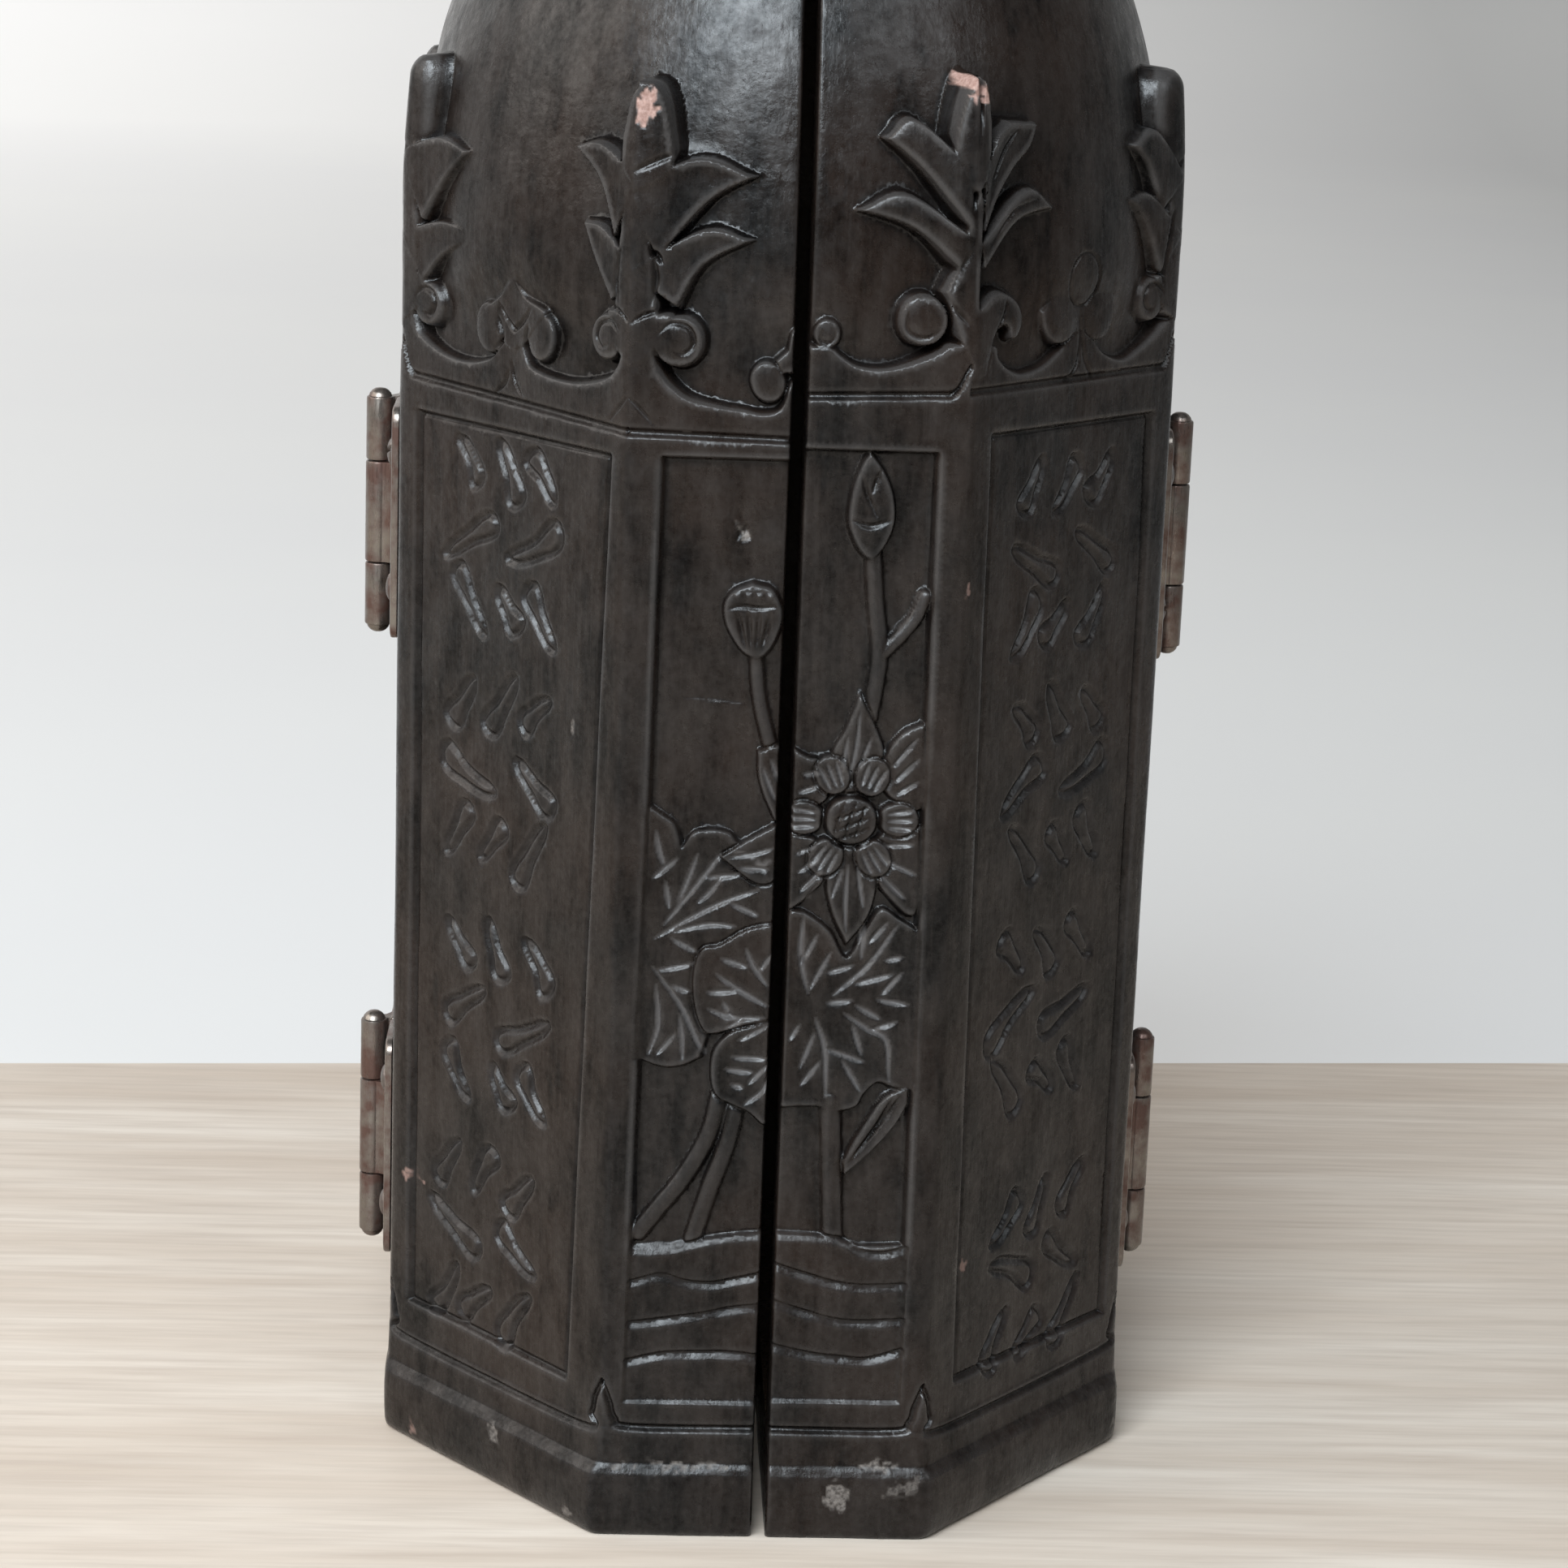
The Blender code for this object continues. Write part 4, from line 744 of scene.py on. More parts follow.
def right_relief(front):
    """Bud, blossom, a round lotus leaf, a curled one and water on the right door."""
    stem(front, [(10.8, 143.0), (11.4, 136.0), (12.2, 130.0), (12.0, 125.5), (11.0, 119.0)], 1.15)
    stem(front, [(12.6, 129.0), (15.2, 131.8), (17.0, 134.2), (18.2, 137.0)], 0.95)
    bud = loop([(9.7, 156.8), (8.4, 154.4), (7.3, 150.6), (7.1, 146.8), (8.5, 143.4),
                (10.4, 141.9), (12.2, 143.6), (13.5, 147.0), (13.2, 150.8), (11.8, 154.0)])
    front.lift(bud, -0.1, 0.7, crown=0.1)
    front.cut([(8.7, 153.2), (9.6, 150.6), (11.1, 147.6)], 0.45, 0.5)
    front.cut([(11.3, 154.4), (10.1, 151.0)], 0.5, 0.5)
    front.cut([(7.6, 147.4), (10.1, 146.6), (12.9, 147.5)], 0.55, 0.55)
    round_leaf = np.vstack([curve([(0.4, 93.0), (3.4, 92.6), (7.0, 90.0), (9.4, 86.4),
                                   (12.0, 90.6), (14.0, 93.4), (16.6, 92.0), (19.4, 90.4)]),
                            curve([(19.6, 67.2), (17.0, 67.4), (14.6, 68.2), (12.8, 66.6),
                                   (11.6, 64.6), (8.8, 63.9), (5.6, 64.5), (0.4, 64.2)])])
    broad_leaf(front, round_leaf, -0.45, [
        [(3.2, 92.0), (3.0, 86.6), (4.2, 81.0)], [(5.2, 89.4), (3.0, 85.0)],
        [(7.2, 87.0), (4.4, 81.6)], [(16.4, 91.2), (12.6, 85.4), (7.8, 80.9)],
        [(14.9, 91.4), (12.4, 88.4)], [(11.7, 91.0), (11.4, 86.2)], [(10.4, 85.2), (6.8, 84.0)],
        [(17.2, 86.5), (14.8, 86.0)], [(15.9, 84.0), (10.8, 82.5)], [(17.2, 84.2), (14.5, 81.0)],
        [(10.4, 80.1), (7.0, 79.7)], [(18.2, 79.7), (13.9, 80.3)], [(14.4, 77.6), (11.0, 79.4)],
        [(9.4, 78.2), (12.6, 76.2), (15.5, 74.4), (16.0, 68.6)], [(16.8, 77.1), (13.3, 75.9)],
        [(10.7, 76.6), (12.0, 72.4)], [(5.4, 77.4), (6.9, 73.0), (7.3, 66.0)],
        [(5.3, 75.2), (3.5, 70.2)], [(6.3, 71.2), (3.7, 67.7)], [(7.2, 73.0), (12.3, 71.3)],
        [(9.4, 71.4), (12.0, 67.2)], [(3.2, 76.4), (1.8, 74.2)]])
    blossom(front, (9.2, 105.8))
    stem(front, [(8.0, 65.5), (8.5, 56.0), (9.1, 45.0)], 1.45)
    curled = np.vstack([curve([(9.9, 56.6), (12.2, 61.0), (15.4, 66.0), (18.9, 68.0)]),
                        curve([(19.0, 65.4), (17.2, 62.0), (13.8, 57.8), (10.2, 54.4)])])
    front.lift(curled, -0.25, 0.5, crown=-0.2)
    front.cut([(10.9, 56.6), (14.4, 61.6), (16.8, 66.4)], 0.5, 0.6)
    front.cut([(13.2, 59.6), (16.2, 63.8), (17.8, 66.6)], 0.4, 0.5)
    water(front, [(0, 45.9), (9.0, 45.6), (13.0, 44.0), (20.5, 44.4), (20.5, 20.4), (0, 20.4)],
          [[(0.8, 45.8), (8.2, 45.5), (10.6, 45.0), (13.0, 43.6), (16.0, 43.1), (19.4, 44.0)],
           [(0.8, 41.2), (6.0, 39.6), (10.0, 38.5), (14.0, 38.2), (19.4, 38.5)],
           [(0.8, 35.7), (6.0, 34.0), (10.0, 33.0), (14.0, 32.8), (19.4, 33.2)],
           [(0.8, 29.0), (7.0, 27.7), (11.0, 27.3), (15.0, 27.2), (19.4, 28.6)]])


# Rows of shallow strokes in the place of the inscription

# Rows of a group, from the top: height, then the strokes' (place, half length, lean in degrees)
STROKE_ROWS = ((10.2, ((-8.6, 4.2, 52), (-0.4, 4.8, 60), (8.2, 4.0, 48))),
               (0.4, ((-6.6, 6.4, -24), (7.4, 5.8, -32))),
               (-9.4, ((-9.0, 4.6, 58), (-1.4, 4.0, 44), (7.6, 5.2, 54))))
STROKE_HALF = 1.55
STROKE_CUT = (0.8, 0.75)        # half width and depth of the cut round a stroke


def stroke(side, centre, reach, angle, half, bend):
    """One brush-like stroke: a slim body left at the panel's level inside a cut outline."""
    ahead = np.array((math.cos(angle), math.sin(angle)))
    across = np.array((-ahead[1], ahead[0]))
    stations = ((-1.0, 0.35), (-0.86, 1.0), (-0.55, 1.05), (-0.1, 0.72), (0.4, 0.62), (0.75, 0.5),
                (1.0, 0.12))
    spine = [np.array(centre) + ahead * reach * t + across * bend * (1.0 - t * t)
             for t, swell in stations]
    upper = [point + across * half * swell for point, (_, swell) in zip(spine, stations)]
    lower = [point - across * half * swell for point, (_, swell) in zip(spine, stations)]
    outline = np.vstack([curve(upper, 4), curve(lower[::-1], 4)])
    side.outline_cut(outline, *STROKE_CUT, bare=0.10)


def stroke_groups(side, centres, seed):
    """Groups of slanting strokes in three rows, the middle row leaning the other way."""
    chance = np.random.default_rng(seed)
    for along, height in centres:
        mirror = chance.choice((-1.0, 1.0))
        for up, row in STROKE_ROWS:
            for out, reach, lean in row:
                angle = math.radians(mirror * lean + chance.uniform(-7.0, 7.0))
                centre = (along + mirror * out + chance.uniform(-0.7, 0.7),
                          height + up + chance.uniform(-0.8, 0.8))
                turned = math.pi if chance.uniform() < 0.5 else 0.0
                stroke(side, centre, reach * chance.uniform(0.85, 1.12), angle + turned,
                       STROKE_HALF * chance.uniform(0.85, 1.15), chance.uniform(-0.9, 0.9))


# Pieces of wood

def spaced(*stretches):
    """Numbers over several stretches of (from, to, step), without repeats."""
    values = []
    for low, high, step in stretches:
        count = max(1, round((high - low) / step))
        values += [low + (high - low) * index / count for index in range(count)]
    return np.array(values + [stretches[-1][1]])


def column_turns(faces, *stretches):
    """Turns about the axis of the grid's columns, from the stretches along each face in order."""
    turns = []
    for face, parts in zip(faces.values(), stretches):
        points = [face.start + face.run * along for along in spaced(*parts)]
        turns = turns[:-1] + [math.atan2(point[0], point[1]) for point in points]
    return np.array(turns)


def heights(step):
    start = math.asin((FINE_TOP - DOME_SPRING) / DOME_RISE)
    end = math.acos(DOME_TIP / DOME_RADIUS)
    turns = start + (end - start) * np.arange(1, DOME_STEPS + 1) / DOME_STEPS
    low = spaced((0.0, 1.2, step), (1.2, 8.0, 2.0 * step), (8.0, FINE_TOP, step))
    return np.concatenate([low, DOME_SPRING + DOME_RISE * np.sin(turns)])


def end_rounding(distance):
    """Drop of the surface towards an edge along a gap."""
    left = np.clip(END_ROUND - distance, 0, None)
    inner = END_ROUND - np.sqrt(np.clip(END_ROUND ** 2 - left ** 2, 0, None))
    return np.where(distance < END_ROUND, inner, 0.0)


def worn(relief, seed):
    """Uneven hand work: slow waves all over, and a nibbled shoulder on the plinth."""
    across = relief.turn * relief.sideways * APOTHEM
    slow = (lattice_noise(across / 9.0, relief.height / 17.0, seed)
            + 0.5 * lattice_noise(across / 4.0, relief.height / 7.0, seed + 1))
    relief.surface += HAND_WAVES * slow
    nibble = np.clip(lattice_noise(across / 3.1, relief.height / 2.3, seed + 2), 0.0, 1.0)
    near_shoulder = np.clip(1.0 - np.abs(relief.height - SHOULDER) / 1.4, 0.0, 1.0)
    relief.surface -= SHOULDER_NIBBLE * nibble * near_shoulder


def band_groove(side):
    """The line above the plinth, which rises to a point on the block's edges."""
    width = side.width
    level = BAND_TOP[side.name]
    points = [(-1, level)]
    if side.name != "front":
        points = [(0.0, 23.0), (1.3, 20.4), (2.0, 17.8), (4.6, level)]
    if side.name == "side":
        points += [(width + 1, level)]
    else:
        points += [(width - 4.6, level), (width - 1.9, 17.6), (width - 1.1, 20.0), (width, 23.0)]
    line = curve(points, 8)
    spots, along, height = side.near(line, 0.8)
    gap, _ = distance_to(along, height, line)
    side.lower(spots, BAND_DEPTH * smooth01(1.0 - gap / 0.75))


def feel_edges(relief):
    """How much each place stands out of its surroundings: edges above, hollows below zero. The
    material paints the edges lighter, as wear and painted highlight, and the hollows darker, as
    painted shade.
    """
    grid = relief.surface.reshape(relief.shape)
    reach = WEAR_AND_SHADE_REACH
    rows, columns = grid.shape
    padded = np.pad(grid, reach, mode="edge")
    strips = sum(padded[step:step + rows] for step in range(2 * reach + 1))
    total = sum(strips[:, step:step + columns] for step in range(2 * reach + 1))
    stand = grid - total / (2 * reach + 1) ** 2
    below_dome = relief.height.reshape(relief.shape) < WEAR_AND_SHADE_TOP
    relief.layers["relief"] = (stand * below_dome).ravel()


def chamber():
    """Grid of the round chamber: distances from the axis and heights, row by row."""
    steps = np.arange(1, CHAMBER_ROWS // 2 + 1) / (CHAMBER_ROWS // 2)
    end = math.acos(CHAMBER_TIP / CHAMBER_RADIUS)
    rows = np.arange(CHAMBER_ROWS)
    straight = CHAMBER_FLOOR + (DOME_SPRING - CHAMBER_FLOOR) * rows / CHAMBER_ROWS
    levels = np.concatenate([straight, [DOME_SPRING], DOME_SPRING + CHAMBER_RISE
                             * np.sin(end * steps)])
    radii = np.concatenate([np.full(CHAMBER_ROWS + 1, CHAMBER_RADIUS),
                            CHAMBER_RADIUS * np.cos(end * steps)])
    return radii, levels


class RightTriangles:
    """Halves a square over the grid again and again into right triangles, finer where it bends.

    A triangle is a row of six grid numbers: the ends of its long side, then its right corner.
    """

    def __init__(self, surface):
        self.rows, self.columns = surface.shape
        self.size = 1 << int(math.ceil(math.log2(max(surface.shape) - 1)))
        size = self.size
        padded = np.pad(surface, ((0, size + 1 - self.rows), (0, size + 1 - self.columns)), "edge")
        levels = [np.array([(0, 0, size, size, size, 0), (size, size, 0, 0, 0, size)], np.int32)]
        for _ in range(2 * int(math.log2(size)) - 1):
            levels.append(self.halves(levels[-1]))
        self.error = np.zeros((size + 1, size + 1))
        for triangles in reversed(levels):
            self.measure(triangles, padded, triangles is levels[-1])

    @staticmethod
    def halves(triangles):
        a, b, c = triangles[:, 0:2], triangles[:, 2:4], triangles[:, 4:6]
        middle = (a + b) // 2
        return np.vstack([np.hstack([c, a, middle]), np.hstack([b, c, middle])])

    def measure(self, triangles, padded, smallest):
        """How far the surface is from flat at the middle of each long side, or below it."""
        a, b, c = triangles[:, 0:2], triangles[:, 2:4], triangles[:, 4:6]
        middle = (a + b) // 2
        flat = (padded[a[:, 0], a[:, 1]] + padded[b[:, 0], b[:, 1]]) / 2
        error = np.abs(padded[middle[:, 0], middle[:, 1]] - flat)
        if not smallest:
            for end in (a, b):
                below = (end + c) // 2
                error = np.maximum(error, self.error[below[:, 0], below[:, 1]])
        corners = np.stack([a, b, c])
        low, high = corners.min(0), corners.max(0)
        last = np.array((self.rows - 1, self.columns - 1))
        at_border = (((low <= 0) | ((low <= last) & (high >= last))).any(1)
                     & (low <= last).all(1))
        error = np.where(at_border, np.inf, error)
        np.maximum.at(self.error, (middle[:, 0], middle[:, 1]), error)

    def leaves(self, tolerance):
        triangles = np.array([(0, 0, self.size, self.size, self.size, 0),
                              (self.size, self.size, 0, 0, 0, self.size)], np.int32)
        done = []
        for _ in range(2 * int(math.log2(self.size))):
            middle = (triangles[:, 0:2] + triangles[:, 2:4]) // 2
            split = self.error[middle[:, 0], middle[:, 1]] > tolerance
            done.append(triangles[~split])
            triangles = self.halves(triangles[split])
        done = np.vstack([*done, triangles])
        inside = ((done[:, 0::2] < self.rows) & (done[:, 1::2] < self.columns)).all(1)
        return done[inside]

    def at_most(self, count):
        """Triangles as grid indices, as many as the count allows."""
        low, high = 0.0, 0.5
        for _ in range(14):
            middle = (low + high) / 2
            if len(self.leaves(middle)) > count:
                low = middle
            else:
                high = middle
        leaves = self.leaves(high)
        return leaves[:, 0::2] * self.columns + leaves[:, 1::2]


def grid_normals(points):
    """Outward normals of the fine grid."""
    normals = np.cross(np.gradient(points, axis=0), np.gradient(points, axis=1))
    outwards = np.sign((normals * points * (1.0, 1.0, 0.0)).sum())
    return outwards * normals / np.linalg.norm(normals, axis=2, keepdims=True)


def wooden_piece(name, wood, relief, base_turns, start_gap, end_gap, corner, place, flip):
    """One closed mesh from the relief, its chamber and the flat faces along its ends.

    start_gap and end_gap are how far the end faces stand off the planes through the axis.
    """
    rows, columns = relief.shape
    surface = relief.surface.reshape(relief.shape)
    height = relief.height.reshape(relief.shape)[:, 0]

    def grid_points(radii, levels, shares):
        first = np.arcsin(start_gap / radii[:, 0]) if start_gap else np.full(len(radii), low_turn)
        last = math.pi / 2 - np.arcsin(end_gap / radii[:, -1])
        turns = first[:, None] + (last - first)[:, None] * shares[None, :]
        return np.stack([radii * np.sin(turns), radii * np.cos(turns),
                         np.broadcast_to(levels[:, None], radii.shape)], 2)

    low_turn = base_turns[0]
    shares = (base_turns - base_turns[0]) / (base_turns[-1] - base_turns[0])
    outer = grid_points(surface, height, shares)
    hollow_radii, hollow_levels = chamber()
    inner_shares = np.linspace(0.0, 1.0, CHAMBER_COLUMNS + 1)
    inner = grid_points(np.repeat(hollow_radii[:, None], len(inner_shares), 1), hollow_levels,
                        inner_shares)
    spine = np.array([(*corner, level) for level in (0.0, CHAMBER_FLOOR, hollow_levels[-1],
                                                     height[-1])])
    triangles = RightTriangles(surface).at_most(MOST_TRIANGLES)
    used, triangles = np.unique(triangles, return_inverse=True)
    triangles = triangles.reshape(-1, 3)
    place = np.array((*place, 1))
    skin = outer.reshape(-1, 3)[used] * place
    normals = grid_normals(outer * place).reshape(-1, 3)[used]
    points = np.vstack([skin, inner.reshape(-1, 3) * place, spine * place]) * MM
    outer_index = np.full(rows * columns, -1)
    outer_index[used] = np.arange(len(used))
    outer_index = outer_index.reshape(rows, columns)
    start = len(used)
    inner_index = start + np.arange(inner.shape[0] * inner.shape[1]).reshape(inner.shape[:2])
    foot, floor, ceiling, top = range(len(points) - 4, len(points))
    a, b, c = (skin[triangles[:, corner]] for corner in range(3))
    inwards = (np.cross(b - a, c - a) * normals[triangles[:, 0]]).sum(1) < 0
    triangles[inwards] = triangles[inwards][:, ::-1]
    square = np.stack([inner_index[:-1, :-1], inner_index[:-1, 1:], inner_index[1:, 1:],
                       inner_index[1:, :-1]], 2).reshape(-1, 4)[:, ::-1]
    flat = [[foot, *outer_index[0][::-1]], [top, *outer_index[-1]],
            [floor, *inner_index[0]], [ceiling, *inner_index[-1][::-1]],
            [*outer_index[:, 0], top, ceiling, *inner_index[::-1, 0], floor, foot],
            [*outer_index[:, -1], top, ceiling, *inner_index[::-1, -1], floor, foot][::-1]]
    others = square.tolist() + [[int(index) for index in face] for face in flat]
    if flip:
        others = [face[::-1] for face in others]
    mesh = bpy.data.meshes.new(name)
    mesh.from_pydata(points.tolist(), [], triangles.tolist() + others)
    mesh.materials.append(wood)
    for layer in LAYERS:
        data = np.zeros(len(points))
        data[:start] = relief.layers[layer][used]
        mesh.attributes.new(layer, "FLOAT", "POINT").data.foreach_set("value", data)
    inside = (np.arange(len(points)) >= start).astype(float)
    mesh.attributes.new("inside", "FLOAT", "POINT").data.foreach_set("value", inside)
    bm = bmesh.new()
    bm.from_mesh(mesh)
    caps = [face for face in bm.faces if len(face.verts) > 4]
    for face in bm.faces:
        face.smooth = True
    for face in caps:
        face.smooth = False
        for edge in face.edges:
            edge.smooth = False
    bmesh.ops.triangulate(bm, faces=caps)
    bm.to_mesh(mesh)
    bm.free()
    set_normals(mesh, np.vstack([normals, np.zeros((len(points) - start, 3))]))
    piece = bpy.data.objects.new(name, mesh)
    bpy.context.scene.collection.objects.link(piece)
    return piece


def set_normals(mesh, normals):
    """Give the carved skin the fine grid's normals, and leave the flat and inner faces alone."""
    corners = np.empty(len(mesh.loops), int)
    mesh.loops.foreach_get("vertex_index", corners)
    smooth = np.empty(len(mesh.polygons), bool)
    mesh.polygons.foreach_get("use_smooth", smooth)
    sizes = np.empty(len(mesh.polygons), int)
    mesh.polygons.foreach_get("loop_total", sizes)
    shown = normals[corners] * np.repeat(smooth, sizes)[:, None]
    mesh.normals_split_custom_set(shown.tolist())


def sink_panels(relief, front_panel, front_depth, diagonal_panel):
    front, diagonal, _ = relief.sides.values()
    front.sink(front_panel, front_depth)
    diagonal.sink(diagonal_panel, DIAGONAL_SINK)
    diagonal.outline_cut(diagonal_panel, 0.65, 0.6)
    relief.floor = relief.surface.copy()


def finish_relief(relief, seed, ends, centres=(), stroke_seed=0):
    """Grooves, strokes, hand work and rounded ends, once the motifs are carved."""
    for side in relief.sides.values():
        band_groove(side)
        frieze_groove(side)
    stroke_groups(relief.sides["diagonal"], centres, stroke_seed)
    worn(relief, seed)
    turn = relief.turn.reshape(relief.shape)
    reach = relief.surface.reshape(relief.shape)
    drop = sum(end_rounding(distance * reach) for distance in ends(turn))
    relief.surface -= drop.ravel()
    feel_edges(relief)


def left_wear(front, diagonal):
    front.mark("chip", (21.5, 200.6), (1.3, 2.3), 12)
    diagonal.mark("chip", (45.4, 41.0), (0.7, 0.5), strength=0.6)
    diagonal.mark("chip", (42.8, 41.0), (0.8, 0.5), 20, strength=0.6)
    diagonal.mark("chip", (40.0, 2.6), (0.9, 0.6), strength=0.5)
    diagonal.mark("dust", (10.0, 116.0), (0.6, 0.5), strength=0.8)
    diagonal.mark("dust", (21.8, 8.6), (1.3, 0.8), 20, strength=0.8)
    diagonal.mark("dust", (5.2, 2.2), (1.0, 0.6), strength=0.8)
    front.mark("dust", (12.0, 10.6), (9.0, 0.35), strength=0.7, sunk=0.05)


def right_wear(front, diagonal):
    front.mark("chip", (22.4, 204.6), (1.0, 1.5))
    diagonal.mark("chip", (0.8, 204.0), (1.2, 1.3))
    diagonal.mark("chip", (8.5, 39.0), (0.5, 0.4), strength=0.5)
    diagonal.mark("chip", (1.2, 138.0), (0.4, 0.7), strength=0.5)
    front.mark("dust", (10.6, 6.8), (1.4, 2.0), strength=0.9)
    front.mark("dust", (16.6, 11.0), (2.4, 0.8), strength=0.9)
    front.mark("dust", (20.0, 8.4), (2.8, 0.7), 20, strength=0.5)
    diagonal.mark("dust", (46.4, 3.6), (0.8, 0.5), strength=0.8)


# Each door: corners of its front and diagonal panel, middles of its groups of strokes, the seeds
# of its strokes and of its hand work, and what carves and wears it
DOORS = {"left": (((0.0, 20.2), (19.7, 20.2), (18.0, 155.0), (0.0, 155.0)),
                  ((7.9, 21.2), (44.3, 21.6), (44.8, 155.0), (3.2, 154.6)),
                  ((26.1, 139.0), (26.0, 105.4), (26.0, 69.6), (27.4, 35.6)),
                  3, 11, left_frieze, left_relief, left_wear),
         "right": (((0.0, 20.7), (19.4, 20.7), (18.8, 156.6), (0.0, 156.6)),
                   ((7.4, 22.0), (45.2, 21.4), (44.0, 157.9), (5.2, 158.6)),
                   ((24.6, 140.0), (25.2, 107.2), (24.8, 72.6), (27.0, 33.6)),
                   8, 23, right_frieze, right_relief, right_wear)}


def make_door(side, wood, step):
    """One door, seen from the axis with the front ahead."""
    (front_panel, diagonal_panel, centres, stroke_seed, seed, carve_frieze, carve_relief,
     wear) = DOORS[side]
    faces = block_faces(SIDE_TO_FRONT)
    turns = column_turns(faces, ((GAP_HALF, 1.6, 0.12), (1.6, faces["front"].width, step)),
                         ((0.0, faces["diagonal"].width, step),),
                         ((0.0, 16.9, 2.5 * step), (16.9, SIDE_TO_FRONT - SPLIT_GAP, 0.2)))
    relief = Relief(turns, heights(step), faces, FRIEZE_LINES[side])
    sink_panels(relief, front_panel, FRONT_SINK, diagonal_panel)
    front, diagonal, _ = relief.sides.values()
    carve_frieze(relief)
    carve_relief(front)
    wear(front, diagonal)
    finish_relief(relief, seed, lambda turn: (turn - turn[:, :1], turn[:, -1:] - turn), centres,
                  stroke_seed)
    sign = -1 if side == "left" else 1
    door = wooden_piece(side + "_door_carved", wood, relief, turns, GAP_HALF, SPLIT_GAP,
                        (GAP_HALF, SPLIT_GAP), (sign, -1), side == "left")
    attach(door, side + "_door")
    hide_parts(side + "_door")


def make_back(wood, step):
    """The rear half, with the same frieze carved more plainly and plain sunk panels."""
    faces = block_faces(SIDE_TO_REAR)
    half = column_turns(faces, ((0.0, faces["front"].width, 1.5 * step),),
                        ((0.0, faces["diagonal"].width, 1.5 * step),),
                        ((0.0, SIDE_TO_REAR - 1.0, 2.0 * step),
                         (SIDE_TO_REAR - 1.0, SIDE_TO_REAR, 0.25)))
    turns = np.concatenate([-half[:0:-1], half])
    base = REAR_FRIEZE
    relief = Relief(turns, heights(1.5 * step), faces, FRIEZE_LINES["rear"])
    front, diagonal, flank = relief.sides.values()
    width = diagonal.width
    sink_panels(relief, [(-1.0, 21.0), (18.6, 21.0), (18.6, 156.6), (-1.0, 156.6)], DIAGONAL_SINK,
                [(4.8, 21.0), (width - 4.8, 21.0), (width - 4.8, 156.6), (4.8, 156.6)])
    sprig(front, front.width, -1.0, base, base + 44.0, 4.4)
    hidden_apron(front, base, -front.width, front.width)
    sprig(diagonal, 0.0, 1.0, base, base + 44.0, 4.4)
    sprig(diagonal, width, -1.0, base, base + 43.0, 4.2)
    hidden_apron(diagonal, base, 0.0, width)
    flank_sprig(flank, base, base + 43.0, 4.2)
    finish_relief(relief, 37, lambda turn: (math.pi / 2 - turn,))
    back = wooden_piece("back_shell_carved", wood, relief, turns, 0.0, 0.0, (0.0, 0.0), (1, 1),
                        True)
    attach(back, "back")
    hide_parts("back_shell")


# Hinges and screws: shells of points as (outwards from the middle, to the back, height)

HINGE_LEVELS = {"lower": 41.5, "upper": 137.0}
HINGE_AXIS = 58.9
HINGE_HALF = 17.0
MIDDLE_HALF = 7.5               # of the door leaf's knuckle
KNUCKLE_GAP = 0.15
KNUCKLE_RADIUS = 2.0
PIN_RADIUS = 0.85
PLATE = (55.3, 56.5)            # inner and outer face of a leaf's plate
PLATE_WIDTH = (0.4, 12.0)       # from the hinge's axis
SCREW_REACH = 7.2
SCREW_RISE = 10.0               # above and below a hinge's middle
SCREW_HEAD = ((1.0, -5.0), (1.0, -0.2), (2.05, -0.2), (2.1, 0.05), (2.0, 0.28), (1.75, 0.50),
              (1.5, 0.63), (1.25, 0.73), (1.0, 0.80), (0.75, 0.85), (0.5, 0.88), (0.25, 0.90),
              (0.1, 0.90))


def loft(rows, joined=False):
    """A closed skin over rows of points, capped at both ends or joined round."""
    rows = np.array(rows, float)
    count, across = rows.shape[:2]
    index = np.arange(count * across).reshape(count, across)
    faces = []
    for first in range(count if joined else count - 1):
        second = (first + 1) % count
        for place in range(across):
            beside = (place + 1) % across
            faces.append((index[first, place], index[first, beside], index[second, beside],
                          index[second, place]))
    if not joined:
        faces += [tuple(index[0][::-1]), tuple(index[-1])]
    return rows.reshape(-1, 3), faces


def turned(profile, centre, joined=False, sides=40):
    """A round piece about an upright line, from its radii and heights."""
    turns = np.linspace(0.0, 2.0 * math.pi, sides, endpoint=False)
    return loft([np.stack([centre[0] + radius * np.cos(turns), centre[1] + radius * np.sin(turns),
                           np.full(sides, centre[2] + height)], 1)
                 for radius, height in profile], joined)


def plate_shell(to_back, level):
    """A flat leaf with rounded corners and softened edges."""
    def outline(inset):
        low, high = PLATE_WIDTH[0] + inset, PLATE_WIDTH[1] - inset
        half = HINGE_HALF - inset
        points = []
        for depth, up, start in ((high - 2.2, half - 2.2, 0), (low + 0.4, half - 0.4, 90),
                                 (low + 0.4, 0.4 - half, 180), (high - 2.2, 2.2 - half, 270)):
            radius = 2.2 if depth > 5.0 else 0.4
            for turn in np.radians(start + np.linspace(0.0, 90.0, 7)):
                points.append((depth + radius * math.cos(turn), up + radius * math.sin(turn)))
        return points
    rows = []
    for out, inset in ((PLATE[0], 0.25), (PLATE[0] + 0.2, 0.0), (PLATE[1] - 0.32, 0.0),
                       (PLATE[1] - 0.1, 0.1), (PLATE[1], 0.35)):
        rows.append([(out, to_back * depth, level + up) for depth, up in outline(inset)])
    return loft(rows)


